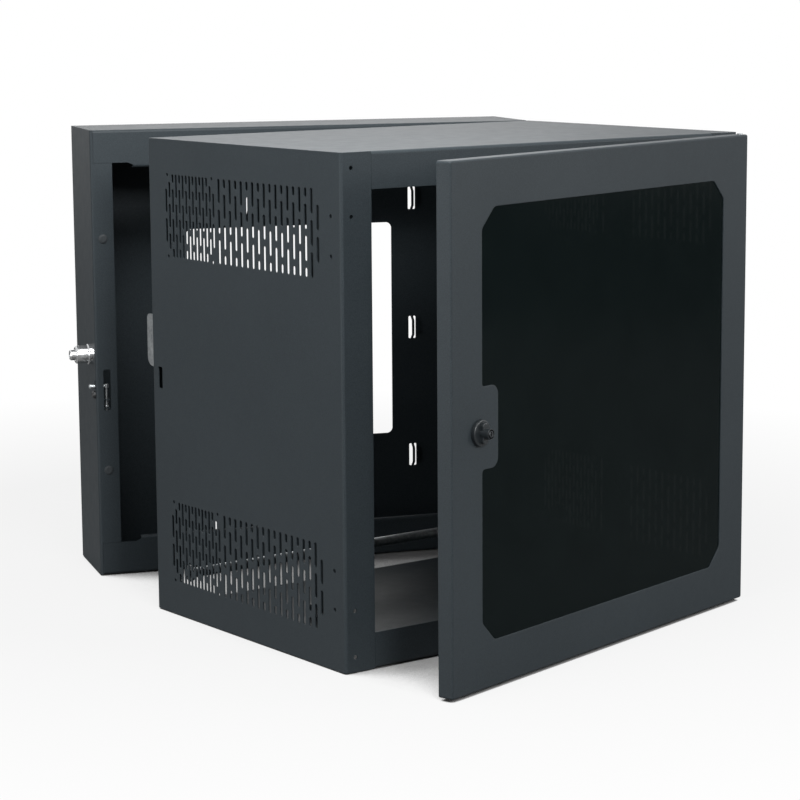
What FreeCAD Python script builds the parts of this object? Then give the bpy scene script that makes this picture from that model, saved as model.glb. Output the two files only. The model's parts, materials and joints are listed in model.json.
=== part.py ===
"""Swing-out wall mount network cabinet, 12U.

Three sheet-metal sections share one height and width: a back box that is bolted to
the wall, a centre section that swings out on its right-hand hinges, and a door with a
smoked window.  Every section is first laid out closed, square to the wall, and is then
turned about its own hinge to the stored pose.

Frame: origin at the middle of the wall face, +X to the right seen from the front,
+Y into the wall, +Z up.  Millimetres.
"""
import FreeCAD, Part
import math
import os

from FreeCAD import Vector

os.makedirs("parts", exist_ok=True)

# ---- driving dimensions -------------------------------------------------------------
WIDTH = 638.0                 # back box and centre section
HEIGHT = 622.3                # 12U opening plus top and bottom frames
BACK_DEPTH = 138.0            # wall face to front of the back box
CENTRE_DEPTH = 427.0          # swinging section
DOOR_DEPTH = 20.5             # door pan
SHEET = 1.5                   # body sheet steel
BEND = 4.0                    # outer radius of a bend in body sheet
REAR_BEND = 2.2               # outer radius of the rear bends of the side walls
DOOR_BEND = 3.0               # outer radius of a bend in the door
SEAM = 0.3                    # gap between pieces that butt
SWING_GAP = 2.0               # back box to centre section, closed
DOOR_GAP = 1.5                # centre section to door, closed
DOOR_REVEAL = 2.3             # door edge set in from the cabinet edge

SWING_ANGLE = 19.09           # centre section, stored pose
DOOR_ANGLE = 14.28            # door, stored pose, from the centre section

# ---- back box -----------------------------------------------------------------------
BACK_SIDE_FLANGE = 30.0
BACK_END_FLANGE = 45.0
BACK_STEP = 7.0               # middle stretch of an end flange stands this much deeper
BACK_STEP_INSET = 52.0
BACK_STEP_RUN = 7.5
BACK_LIP = 9.0
CABLE_OPENING_WIDTH = 312.0
CABLE_OPENING_HEIGHT = 317.0
CABLE_OPENING_RADIUS = 9.0
LACING_SLOT_WIDTH = 5.3
LACING_SLOT_HEIGHT = 33.5
LACING_BRIDGE = 4.0
LACING_OUTER_X = 186.0
LACING_INNER_X = 62.0
LACING_ROW_Z = 193.5
TIE_SLOT_X = 114.5
TIE_SLOT_HEIGHT = 25.4
TIE_SLOT_END = 32.5
WALL_HOLE_SPACING_X = 406.4   # studs at 16 in centres
WALL_HOLE_SPACING_Z = 584.2
WALL_HOLE_RADIUS = 4.5
BUMPER_INSET = 15.0
BUMPER_Z = 162.0
BUMPER_RADIUS = 6.3
BUMPER_STEM_RADIUS = 2.5

# ---- centre section -----------------------------------------------------------------
FRONT_SIDE_FLANGE = 44.0
FRONT_END_FLANGE = 44.45      # one rack unit
REAR_SIDE_FLANGE = 36.0
PANEL_TURN_DOWN = 15.0        # side edges of the top and bottom panels
FLANGE_HOLE_INSET = 14.8
FLANGE_HOLE_ENDS = (18.3, 75.3)
FLANGE_HOLE_RADIUS = 2.6
SIDE_HOLE_SETBACK = 21.0
SIDE_HOLE_ENDS = (75.0, 122.4)
SIDE_HOLE_RADIUS = 2.6
VENT_END = 97.5               # vent centre from the top or bottom of the cabinet
VENT_SLOT_WIDTH = 5.5
FAN_SLOT_WIDTH = 5.0
VENT_SLOT_HEIGHT = 30.5
VENT_SLOT_GAP = 7.6
FAN_FROM_REAR = 97.0
FAN_HOLE_SPACING = 104.8      # 120 mm fan
FAN_HOLE_RADIUS = 2.2
FAN_COLUMNS = 15
FAN_PITCH = 7.94
VENT_PITCH = 12.6
VENT_COLUMNS = 18
LATCH_WINDOW_FROM_REAR = 18.0
LATCH_WINDOW_WIDTH = 10.0
LATCH_WINDOW_HEIGHT = 28.5
BAR_RADIUS = 6.35             # 1/2 in tube
BAR_WALL = 1.5
BAR_FROM_REAR = 77.0
BAR_FROM_BOTTOM = 59.8
BAR_FOOT_RADIUS = 11.0
BAR_FOOT = 2.0

# ---- 19 inch rails ------------------------------------------------------------------
UNIT = 44.45
RACK_UNITS = int((HEIGHT - 2 * FRONT_END_FLANGE) / UNIT + 0.01)
RAIL_OPENING = 450.85
RAIL_HOLE_SPACING = 465.1
RAIL_HOLE_STEPS = (6.35, 22.225, 38.1)
RAIL_HOLE_RADIUS = 2.4        # 10-32
RAIL_FACE = 21.0
RAIL_SIDE = 51.0
RAIL_SHEET = 2.0
RAIL_BEND = 3.0
RAIL_OVERRUN = 14.5
RAIL_SETBACK = 121.0
RAIL_BRACKET_LENGTH = 60.0
RAIL_BRACKET_DROP = 18.0
RAIL_BRACKET_GAP = 6.5
BOLT_RADIUS = 3.0
BOLT_HEAD_RADIUS = 5.5
BOLT_HEAD = 3.0

# ---- swing hinges -------------------------------------------------------------------
SWING_AXIS_OUT = 5.0          # pin axis outside the right wall
HINGE_PIN_RADIUS = 2.5
HINGE_KNUCKLE_RADIUS = 4.6
HINGE_LEAF = 2.0
HINGE_LEAF_WIDTH = 30.0
HINGE_HEIGHT = 75.0
HINGE_END = 86.0              # middle of an outer hinge from the cabinet's end
HINGE_Z = (HINGE_END - HEIGHT / 2, 0.0, HEIGHT / 2 - HINGE_END)
HINGE_RUNNING_CLEARANCE = 0.05
KNUCKLE_GAP = 0.3
HINGE_SCREW_RADIUS = 4.2
HINGE_SCREW_HEAD = 2.0
HINGE_SCREW_Z = 25.0

# ---- door ---------------------------------------------------------------------------
DOOR_AXIS_INSET = 7.5         # pin axis in from the cabinet's right edge
DOOR_AXIS_FORWARD = 12.5      # pin axis in front of the centre section
DOOR_PIN_RADIUS = 2.0
DOOR_PIN_CLEARANCE = 0.05
DOOR_PIN_LENGTH = 12.0
DOOR_PIN_HEAD = 1.2
DOOR_PIN_HEAD_RADIUS = 3.6
DOOR_TAB_THICKNESS = 2.0
DOOR_TAB_WIDTH = 6.5
DOOR_TAB_GAP = 0.8
WINDOW_OPENING_WIDTH = 518.0
WINDOW_OPENING_HEIGHT = 506.5
WINDOW_CORNER = 25.4
WINDOW_OVERLAP = 14.0
WINDOW_THICKNESS = 3.0
LOCK_TAB_REACH = 30.5
LOCK_TAB_HEIGHT = 97.0
LOCK_TAB_CORNER = 12.0
LOCK_INSET = 53.8             # knob axis from the cabinet's left edge
LOCK_Z = -4.0                 # knob axis from the cabinet's middle
LOCK_NOTCH_RADIUS = 19.0
RETAINER_WIDTH = 14.0
RETAINER_THICKNESS = 1.5
STUD_RADIUS = 2.0
STUD_LENGTH = 9.5
NUT_ACROSS = 7.0
NUT_HEIGHT = 3.2
NUT_CLEARANCE = 0.05

# ---- door lock ----------------------------------------------------------------------
KNOB_DISC_RADIUS = 15.5
KNOB_DISC = 5.0
KNOB_GRIP_WIDTH = 7.0
KNOB_GRIP_HEIGHT = 25.0
KNOB_GRIP = 8.0
KNOB_BARREL_RADIUS = 8.0
KNOB_BARREL = 4.0
KEY_PLUG_RADIUS = 5.0
KEY_SLOT_WIDTH = 1.6
KEY_SLOT_HEIGHT = 6.5
LOCK_BODY_RADIUS = 7.3
SPINDLE_RADIUS = 4.0
RUNNING = 0.08
CAM_LENGTH = 34.0
CAM_WIDTH = 13.0
CAM_THICKNESS = 2.5
CAM_BEHIND_FLANGE = 2.5

# ---- side lock and swing latch ------------------------------------------------------
SIDE_LOCK_BEHIND = 20.5       # behind the back box's front plane
LOCK_COLLAR_RADIUS = 14.2
LOCK_COLLAR = 11.0
LOCK_BARREL_RADIUS = 12.5
LOCK_BARREL = 13.6
PLUNGER_RADIUS = 7.5
PLUNGER_OUT = 7.5
BOLT_ROD_RADIUS = 4.0
BOLT_REST_REACH = 31.8        # bolt tip inside the side wall, unlocked
PLUNGER_TRAVEL = 7.3
LOCK_NUT_ACROSS = 24.0
LOCK_NUT = 5.0
LOCK_THREAD_RADIUS = 9.0
STRIKE_INSET = 36.5           # strike arm's outer face from the left wall
STRIKE_SHEET = 2.0
STRIKE_REACH = 73.0
STRIKE_TOP = 73.0
STRIKE_FOOT = 14.0
STRIKE_NECK = 42.0
STRIKE_CORNER = 6.0
STRIKE_TIP_FOOT = 3.0
STRIKE_TIP_CORNER = 12.0
STRIKE_BASE = 22.0
STRIKE_HOLE_RADIUS = 6.0
LATCH_SLOT_INSET = 15.6
LATCH_SLOT_WIDTH = 10.2
LATCH_SLOT_TOP = -20.0
LATCH_SLOT_BOTTOM = -77.3
LATCH_ROD_BEHIND = 6.0
LATCH_ROD_RADIUS = 1.8
LATCH_HEAD_RADIUS = 3.0
LATCH_HEAD_TOP = -41.0        # released: the hook passes over it
LATCH_HEAD_HEIGHT = 6.0
LATCH_COLLAR_TOP = -71.0
LATCH_COLLAR_HEIGHT = 3.0
LATCH_TRAVEL = 6.0            # upwards, behind the hook's lip
LATCH_EAR_Z = -62.5
LATCH_PLATE_TOP = -49.0
LATCH_SCREW_Z = -55.5
LATCH_SCREW_RADIUS = 5.4
THUMB_PIN_RADIUS = 3.4
THUMB_PIN_NECK = 2.4
THUMB_PIN_OUT = 8.7
HOOK_INSET = 14.1
HOOK_SHEET = 3.0
HOOK_TOP = -24.0
HOOK_ARM_BOTTOM = -33.0
HOOK_LIP_BOTTOM = -40.0
HOOK_REACH = 19.0
HOOK_LIP = 6.0

# ---- derived places -----------------------------------------------------------------
LEFT = -WIDTH / 2
RIGHT = WIDTH / 2
TOP = HEIGHT / 2
BOTTOM = -HEIGHT / 2
BACK_FRONT = -BACK_DEPTH
CENTRE_REAR = BACK_FRONT - SWING_GAP
CENTRE_FRONT = CENTRE_REAR - CENTRE_DEPTH
DOOR_REAR = CENTRE_FRONT - DOOR_GAP
DOOR_FRONT = DOOR_REAR - DOOR_DEPTH
DOOR_LEFT = LEFT + DOOR_REVEAL
DOOR_RIGHT = RIGHT - DOOR_REVEAL
DOOR_TOP = TOP - DOOR_REVEAL
DOOR_BOTTOM = BOTTOM + DOOR_REVEAL
SWING_AXIS = Vector(RIGHT + SWING_AXIS_OUT, BACK_FRONT - SWING_GAP / 2, 0)
DOOR_AXIS = Vector(RIGHT - DOOR_AXIS_INSET, CENTRE_FRONT - DOOR_AXIS_FORWARD, 0)
LOCK_X = LEFT + LOCK_INSET
LOCK_WALL_Y = BACK_FRONT + SIDE_LOCK_BEHIND
UP = Vector(0, 0, 1)
RIGHTWARD = Vector(1, 0, 0)
REARWARD = Vector(0, 1, 0)


# ---- basic shapes -------------------------------------------------------------------
def block(x0, x1, y0, y1, z0, z1):
    """Axis-aligned box between two corners given in any order."""
    size = (abs(x1 - x0), abs(y1 - y0), abs(z1 - z0))
    return Part.makeBox(*size, Vector(min(x0, x1), min(y0, y1), min(z0, z1)))


def rod(radius, start, direction, length):
    """Round bar from start along direction."""
    return Part.makeCylinder(radius, length, start, direction)


def rounded_wire(corners, lift):
    """Closed wire through (u, v, radius) corners; lift maps (u, v) to a 3D point."""
    starts = []
    ends = []
    middles = []
    count = len(corners)
    for i, (u, v, radius) in enumerate(corners):
        here = Vector(u, v, 0)
        before = Vector(*corners[i - 1][:2], 0)
        after = Vector(*corners[(i + 1) % count][:2], 0)
        back = (before - here).normalize()
        ahead = (after - here).normalize()
        half = back.getAngle(ahead) / 2
        reach = radius / math.tan(half) if radius else 0.0
        bisector = (back + ahead).normalize() if radius else Vector(0, 0, 0)
        centre = here + bisector * (radius / math.sin(half))
        starts.append(here + back * reach)
        ends.append(here + ahead * reach)
        middles.append(centre - bisector * radius)
    edges = []
    for i in range(count):
        if corners[i][2]:
            arc = Part.Arc(lift(starts[i]), lift(middles[i]), lift(ends[i]))
            edges.append(arc.toShape())
        following = starts[(i + 1) % count]
        if (following - ends[i]).Length > 1e-6:
            edges.append(Part.makeLine(lift(ends[i]), lift(following)))
    return Part.Wire(edges)


def prism(corners, lift, along):
    """Solid of a rounded outline extruded along a vector."""
    return Part.Face(rounded_wire(corners, lift)).extrude(along)


def plan(z):
    """Lift for outlines drawn in plan at height z."""
    return lambda p: Vector(p.x, p.y, z)


def side_view(x):
    """Lift for outlines drawn in Y and Z at a given x."""
    return lambda p: Vector(x, p.x, p.y)


def front_view(y):
    """Lift for outlines drawn in X and Z at a given y."""
    return lambda p: Vector(p.x, y, p.y)


def sheet_section(path, thickness, radius):
    """Outline of bent sheet: path is its outer face, the metal lies to the path's left.

    The radius is one number for every bend, or a list with one for each bend.
    """
    bends = list(radius) if isinstance(radius, (list, tuple)) else [radius] * (len(path) - 2)
    bends = [0.0] + bends + [0.0]
    inner = []
    for i, point in enumerate(path):
        here = Vector(*point, 0)
        normals = []
        if i > 0:
            run = (here - Vector(*path[i - 1], 0)).normalize()
            normals.append(Vector(-run.y, run.x, 0))
        if i < len(path) - 1:
            run = (Vector(*path[i + 1], 0) - here).normalize()
            normals.append(Vector(-run.y, run.x, 0))
        offset = normals[0]
        if len(normals) == 2:
            offset = (normals[0] + normals[1]) * (1 / (1 + normals[0].dot(normals[1])))
        inner.append(here + offset * thickness)
    last = len(path) - 1
    outline = []
    for i, point in enumerate(path):
        outline.append((point[0], point[1], bends[i]))
    for i in range(last, -1, -1):
        bend = max(bends[i] - thickness, 0.2) if 0 < i < last else 0.0
        outline.append((inner[i].x, inner[i].y, bend))
    return outline


def rounded_slab(x0, x1, z0, z1, y0, y1, radius):
    """Rectangular slab facing the front with rounded corners."""
    corners = [(x0, z0, radius), (x1, z0, radius), (x1, z1, radius), (x0, z1, radius)]
    return prism(corners, front_view(y0), Vector(0, y1 - y0, 0))


def mirrored_x(shape):
    """Copy of a shape mirrored to the other side of the cabinet."""
    return shape.mirror(Vector(0, 0, 0), RIGHTWARD)


def mirrored_z(shape):
    """Copy of a shape mirrored top to bottom."""
    return shape.mirror(Vector(0, 0, 0), UP)


def hexagon(across, start, direction, length):
    """Hexagonal bar; across is the width over the flats."""
    radius = across / math.sqrt(3)
    points = []
    for i in range(7):
        turn = math.radians(60 * i + 30)
        points.append(Vector(radius * math.cos(turn), radius * math.sin(turn), 0))
    bar = Part.Face(Part.makePolygon(points)).extrude(Vector(0, 0, length))
    bar.Placement = FreeCAD.Placement(start, FreeCAD.Rotation(UP, direction))
    return bar


def swung(shape):
    """Turn a closed-pose shape of the centre section to the stored pose."""
    turned = shape.copy()
    turned.rotate(SWING_AXIS, UP, SWING_ANGLE)
    return turned


def opened(shape):
    """Turn a closed-pose shape of the door to the stored pose."""
    turned = shape.copy()
    turned.rotate(DOOR_AXIS, UP, DOOR_ANGLE)
    return swung(turned)


# ---- back box -----------------------------------------------------------------------
def lacing_pair(x, z, height):
    """Two slots side by side, with the bridge between them left for a cable tie."""
    half = LACING_BRIDGE / 2
    cuts = []
    for side in (-1, 1):
        inner = x + side * half
        outer = x + side * (half + LACING_SLOT_WIDTH)
        cuts.append(block(inner, outer, -SHEET - 1, 1, z - height / 2, z + height / 2))
    return cuts


def back_pan_cuts():
    """Cable opening, lacing slots, tie slots and wall screw holes in the back pan."""
    half_width = CABLE_OPENING_WIDTH / 2
    half_height = CABLE_OPENING_HEIGHT / 2
    cuts = [rounded_slab(-half_width, half_width, -half_height, half_height,
                         -SHEET - 1, 1, CABLE_OPENING_RADIUS)]
    for side in (-1, 1):
        for row in (-1, 0, 1):
            cuts += lacing_pair(side * LACING_OUTER_X, row * LACING_ROW_Z, LACING_SLOT_HEIGHT)
        for row in (-1, 1):
            cuts += lacing_pair(side * LACING_INNER_X, row * LACING_ROW_Z, LACING_SLOT_HEIGHT)
            cuts += lacing_pair(side * TIE_SLOT_X, row * (TOP - TIE_SLOT_END), TIE_SLOT_HEIGHT)
            hole = Vector(side * WALL_HOLE_SPACING_X / 2, -SHEET - 1, row * WALL_HOLE_SPACING_Z / 2)
            cuts.append(rod(WALL_HOLE_RADIUS, hole, REARWARD, SHEET + 2))
    return cuts


def back_box_shell():
    """Back pan and both side walls with their front flanges, one bent sheet."""
    path = [(RIGHT - BACK_SIDE_FLANGE, BACK_FRONT), (RIGHT, BACK_FRONT), (RIGHT, 0),
            (LEFT, 0), (LEFT, BACK_FRONT), (LEFT + BACK_SIDE_FLANGE, BACK_FRONT)]
    section = sheet_section(path, SHEET, [BEND, REAR_BEND, REAR_BEND, BEND])
    shell = prism(section, plan(BOTTOM), Vector(0, 0, HEIGHT))
    cuts = back_pan_cuts()
    for side in (-1, 1):
        for end in (-1, 1):
            inner = side * (RIGHT - BEND - SEAM / 2)
            flange_end = end * (TOP - BACK_END_FLANGE - SEAM)
            cuts.append(block(inner, side * (RIGHT - BACK_SIDE_FLANGE - 1), BACK_FRONT - 1,
                              BACK_FRONT + SHEET + 1, flange_end, end * (TOP + 1)))
            bumper = Vector(side * (RIGHT - BUMPER_INSET), BACK_FRONT - 1, end * BUMPER_Z)
            cuts.append(rod(BUMPER_STEM_RADIUS, bumper, REARWARD, SHEET + 2))
    slot = LEFT + LATCH_SLOT_INSET
    cuts.append(block(slot - LATCH_SLOT_WIDTH / 2, slot + LATCH_SLOT_WIDTH / 2,
                      BACK_FRONT - 1, BACK_FRONT + SHEET + 1, LATCH_SLOT_BOTTOM, LATCH_SLOT_TOP))
    lock = Vector(LEFT - 1, LOCK_WALL_Y, 0)
    cuts.append(rod(LOCK_THREAD_RADIUS + RUNNING, lock, RIGHTWARD, SHEET + 2))
    cuts.append(rod(1.95, Vector(LEFT - 1, BACK_FRONT + SHEET + LATCH_ROD_BEHIND, LATCH_SCREW_Z),
                    RIGHTWARD, SHEET + 2))
    cuts.append(thumb_pin_slot())
    return shell.cut(cuts)


def thumb_pin_slot():
    """Upright slot in the left wall that the latch's thumb pin rides in."""
    y = BACK_FRONT + SHEET + LATCH_ROD_BEHIND
    z = LATCH_HEAD_TOP - LATCH_HEAD_HEIGHT / 2
    reach = THUMB_PIN_NECK + 0.3
    return block(LEFT - 1, LEFT + SHEET + 1, y - reach, y + reach, z - reach, z + LATCH_TRAVEL + reach)


def cover_sheet(front, rear):
    """Flat top sheet that fills the space between the side walls, its corners eased past their bends."""
    edge = RIGHT - SHEET - SEAM
    ease = BEND - 1.0
    corners = [(-edge, front, ease), (edge, front, ease), (edge, rear, ease), (-edge, rear, ease)]
    return prism(corners, plan(TOP - SHEET), Vector(0, 0, SHEET))


def back_box_end():
    """Top panel of the back box with its stepped, lipped front flange."""
    inner = BACK_FRONT
    path = [(inner, TOP - BACK_END_FLANGE), (inner, TOP), (-SHEET - SEAM, TOP)]
    across = RIGHT - BEND - SEAM
    section = sheet_section(path[::-1], SHEET, BEND)
    panel = prism(section, side_view(-across), Vector(2 * across, 0, 0))
    panel = panel.fuse(cover_sheet(BACK_FRONT + BEND + SEAM, -SHEET - SEAM))
    return panel.fuse(back_box_step()).removeSplitter()


def back_box_step():
    """Deeper middle stretch of the end flange with its return lip."""
    shoulder = TOP - BACK_END_FLANGE
    foot = shoulder - BACK_STEP
    outer = RIGHT - BACK_STEP_INSET
    inner = outer - BACK_STEP_RUN
    corners = [(-outer, shoulder, 0), (-inner, foot + BEND, 0), (inner, foot + BEND, 0), (outer, shoulder, 0)]
    step = prism(corners, front_view(BACK_FRONT), Vector(0, SHEET, 0))
    lip_path = [(BACK_FRONT + BACK_LIP, foot), (BACK_FRONT, foot), (BACK_FRONT, foot + BEND + 0.5)]
    lip = prism(sheet_section(lip_path[::-1], SHEET, BEND), side_view(-inner), Vector(2 * inner, 0, 0))
    return step.fuse(lip)


def flange_bumpers():
    """Rubber buttons on the side flanges that the centre section closes against."""
    bumpers = []
    height = SWING_GAP - SEAM
    for side in (-1, 1):
        for end in (-1, 1):
            face = Vector(side * (RIGHT - BUMPER_INSET), BACK_FRONT, end * BUMPER_Z)
            head = rod(BUMPER_RADIUS, face, -REARWARD, height)
            stem = rod(BUMPER_STEM_RADIUS - 0.05, face, REARWARD, SHEET + 3)
            bumpers.append(head.fuse(stem))
    return Part.makeCompound(bumpers)


# ---- swing hinges -------------------------------------------------------------------
def hinge_leaf(z, moving):
    """One leaf with its knuckles; the moving leaf holds the middle knuckle."""
    third = HINGE_HEIGHT / 3
    spans = [(-1.5, -0.5), (0.5, 1.5)]
    if moving:
        spans = [(-0.5, 0.5)]
    edge = CENTRE_REAR - SEAM if moving else BACK_FRONT + SEAM
    away = -1 if moving else 1
    far = edge + away * (HINGE_LEAF_WIDTH - 4)
    leaf = block(RIGHT, RIGHT + HINGE_LEAF, edge, far, z - HINGE_HEIGHT / 2, z + HINGE_HEIGHT / 2)
    for low, high in spans:
        base = z + low * third + KNUCKLE_GAP / 2
        length = (high - low) * third - KNUCKLE_GAP
        knuckle = rod(HINGE_KNUCKLE_RADIUS, SWING_AXIS + UP * base, UP, length)
        neck = block(RIGHT + SEAM, RIGHT + HINGE_LEAF, SWING_AXIS.y, edge, base, base + length)
        leaf = leaf.fuse([knuckle, neck])
    others = [(-0.5, 0.5)] if not moving else [(-1.5, -0.5), (0.5, 1.5)]
    clear = HINGE_KNUCKLE_RADIUS + 0.3
    for low, high in others:
        base = z + low * third - KNUCKLE_GAP / 2
        leaf = leaf.cut(rod(clear, SWING_AXIS + UP * base, UP, (high - low) * third + KNUCKLE_GAP))
    bore = HINGE_PIN_RADIUS + HINGE_RUNNING_CLEARANCE
    return leaf.cut(rod(bore, SWING_AXIS + UP * (z - HINGE_HEIGHT), UP, 2 * HINGE_HEIGHT))


def hinge_screws(moving):
    """Low-headed screws that hold the leaves to the walls."""
    away = -1 if moving else 1
    edge = CENTRE_REAR if moving else BACK_FRONT
    y = edge + away * HINGE_LEAF_WIDTH * 0.6
    screws = []
    for z in HINGE_Z:
        for step in (-1, 0, 1):
            face = Vector(RIGHT + HINGE_LEAF, y, z + step * HINGE_SCREW_Z)
            head = Part.makeCone(HINGE_SCREW_RADIUS, HINGE_SCREW_RADIUS * 0.6, HINGE_SCREW_HEAD, face, RIGHTWARD)
            screws.append(head)
    return Part.makeCompound(screws)


def swing_hinge_leaves(moving):
    """All leaves of one side of the joint."""
    return Part.makeCompound([hinge_leaf(z, moving) for z in HINGE_Z])


def swing_hinge_pins():
    """Hinge pins with their heads, carried by the fixed leaves."""
    pins = []
    for z in HINGE_Z:
        foot = SWING_AXIS + UP * (z - HINGE_HEIGHT / 2 - 1)
        top = SWING_AXIS + UP * (z + HINGE_HEIGHT / 2)
        shank = rod(HINGE_PIN_RADIUS, foot, UP, HINGE_HEIGHT + 1)
        pins.append(shank.fuse(rod(HINGE_KNUCKLE_RADIUS - 0.4, top, UP, 2.0)))
    return Part.makeCompound(pins)


# ---- centre section: panels ---------------------------------------------------------
def vent_column(y, kind, slot_width):
    """Slots of one vent column about its own middle: three whole slots, or two with part slots."""
    pitch = VENT_SLOT_HEIGHT + VENT_SLOT_GAP
    half = VENT_SLOT_HEIGHT / 2
    reach = pitch + half
    spans = {
        "three": [(-reach, -reach + 2 * half), (-half, half), (reach - 2 * half, reach)],
        "three_short": [(-reach + 10, -reach + 2 * half), (-half, half), (reach - 2 * half, reach - 10)],
        "two": [(-pitch / 2 - half, -pitch / 2 + half), (pitch / 2 - half, pitch / 2 + half)],
    }
    spans["four"] = spans["two"] + [(pitch + VENT_SLOT_GAP / 2, reach), (-reach, -pitch - VENT_SLOT_GAP / 2)]
    width = slot_width / 2
    slots = []
    for low, high in spans[kind]:
        slots.append((y - width, y + width, low, high))
    return slots


def vent_slots():
    """All slots of one vent: the fan grille at the rear, then the wider-pitched field."""
    slots = []
    fan = CENTRE_REAR - FAN_FROM_REAR
    middle = (FAN_COLUMNS - 1) // 2
    for i in range(FAN_COLUMNS):
        out = abs(i - middle)
        kind = "four" if (middle - out) % 2 == 0 else "three"
        if out == middle:
            kind = "two"
        if out == middle - 1:
            kind = "three_short"
        slots += vent_column(fan - (i - middle) * FAN_PITCH, kind, FAN_SLOT_WIDTH)
    first = fan - middle * FAN_PITCH - VENT_PITCH
    for i in range(VENT_COLUMNS):
        kind = "three" if i % 2 == 0 else "four"
        if i == VENT_COLUMNS - 1:
            kind = "two"
        slots += vent_column(first - i * VENT_PITCH, kind, VENT_SLOT_WIDTH)
    return slots


def vent_cuts(x):
    """Cutting solids for both vents of the side panel whose outer face is at x."""
    cuts = []
    for end in (-1, 1):
        centre = end * (TOP - VENT_END)
        for y0, y1, z0, z1 in vent_slots():
            cuts.append(block(x - 1, x + SHEET + 1, y0, y1, centre + z0, centre + z1))
        for dy in (-1, 1):
            for dz in (-1, 1):
                y = CENTRE_REAR - FAN_FROM_REAR + dy * FAN_HOLE_SPACING / 2
                z = centre + dz * FAN_HOLE_SPACING / 2
                cuts.append(rod(FAN_HOLE_RADIUS, Vector(x - 1, y, z), RIGHTWARD, SHEET + 2))
    return cuts


def side_panel():
    """Left side panel: vented wall with a front and a rear flange, one bent sheet."""
    path = [(LEFT + REAR_SIDE_FLANGE, CENTRE_REAR), (LEFT, CENTRE_REAR),
            (LEFT, CENTRE_FRONT), (LEFT + FRONT_SIDE_FLANGE, CENTRE_FRONT)]
    panel = prism(sheet_section(path, SHEET, [REAR_BEND, BEND]), plan(BOTTOM), Vector(0, 0, HEIGHT))
    cuts = vent_cuts(LEFT)
    for end in (-1, 1):
        for inset in FLANGE_HOLE_ENDS:
            hole = Vector(LEFT + FLANGE_HOLE_INSET, CENTRE_FRONT - 1, end * (TOP - inset))
            cuts.append(rod(FLANGE_HOLE_RADIUS, hole, REARWARD, SHEET + 2))
        for inset in SIDE_HOLE_ENDS:
            hole = Vector(LEFT - 1, CENTRE_FRONT + SIDE_HOLE_SETBACK, end * (TOP - inset))
            cuts.append(rod(SIDE_HOLE_RADIUS, hole, RIGHTWARD, SHEET + 2))
    window = CENTRE_REAR - LATCH_WINDOW_FROM_REAR
    cuts.append(block(LEFT - 1, LEFT + SHEET + 1, window - LATCH_WINDOW_WIDTH / 2,
                      window + LATCH_WINDOW_WIDTH / 2, -LATCH_WINDOW_HEIGHT / 2, LATCH_WINDOW_HEIGHT / 2))
    return panel.cut(cuts)


def side_panel_left():
    """Left side panel with the hole its latch hook reaches through."""
    x = LEFT + HOOK_INSET
    hole = block(x - 0.5, x + HOOK_SHEET + 0.5, CENTRE_REAR - SHEET - 1, CENTRE_REAR + 1,
                 HOOK_TOP + 0.5, HOOK_LIP_BOTTOM - 0.5)
    return side_panel().cut(hole)


def side_panel_right():
    """Right side panel with slots in its front flange for the door hinge tabs."""
    panel = mirrored_x(side_panel())
    cuts = []
    for end in (-1, 1):
        low, high = door_tab_span(end)
        half = DOOR_TAB_WIDTH / 2 + 0.5
        cuts.append(block(DOOR_AXIS.x - half, DOOR_AXIS.x + half, CENTRE_FRONT - 1,
                          CENTRE_FRONT + SHEET + 1, low - 0.4, high + 0.4))
    return panel.cut(cuts)


def end_panel():
    """Top panel of the centre section: sheet, front flange and turned-down side edges."""
    path = [(CENTRE_REAR, TOP), (CENTRE_FRONT, TOP), (CENTRE_FRONT, TOP - FRONT_END_FLANGE)]
    across = RIGHT - FRONT_SIDE_FLANGE - SEAM
    panel = prism(sheet_section(path, SHEET, BEND), side_view(-across), Vector(2 * across, 0, 0))
    ledge = RIGHT - SHEET - SEAM
    front = CENTRE_FRONT + SHEET + SEAM
    rear = CENTRE_REAR - SHEET - SEAM
    wide = cover_sheet(front, rear)
    edges = []
    for side in (-1, 1):
        edges.append(block(side * ledge, side * (ledge - SHEET), front + BEND, rear - BEND,
                           TOP, TOP - PANEL_TURN_DOWN))
    return panel.fuse([wide] + edges).removeSplitter()


def lower_cross_bar():
    """Tube with a round foot at each end, between the side walls near the rear of the floor."""
    foot_x = LEFT + SHEET + SEAM
    start = Vector(foot_x, CENTRE_REAR - BAR_FROM_REAR, BOTTOM + BAR_FROM_BOTTOM)
    length = -2 * foot_x
    tube = rod(BAR_RADIUS, start, RIGHTWARD, length)
    feet = [rod(BAR_FOOT_RADIUS, start, RIGHTWARD, BAR_FOOT),
            rod(BAR_FOOT_RADIUS, start + RIGHTWARD * length, -RIGHTWARD, BAR_FOOT)]
    bore = rod(BAR_RADIUS - BAR_WALL, start - RIGHTWARD, RIGHTWARD, length + 2)
    return tube.fuse(feet).cut(bore)


# ---- centre section: rails ----------------------------------------------------------
RAIL_FRONT = CENTRE_FRONT + RAIL_SETBACK
RAIL_HALF = RACK_UNITS * UNIT / 2 + RAIL_OVERRUN
RAIL_INNER = RAIL_OPENING / 2
RAIL_OUTER = RAIL_INNER + RAIL_FACE


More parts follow.
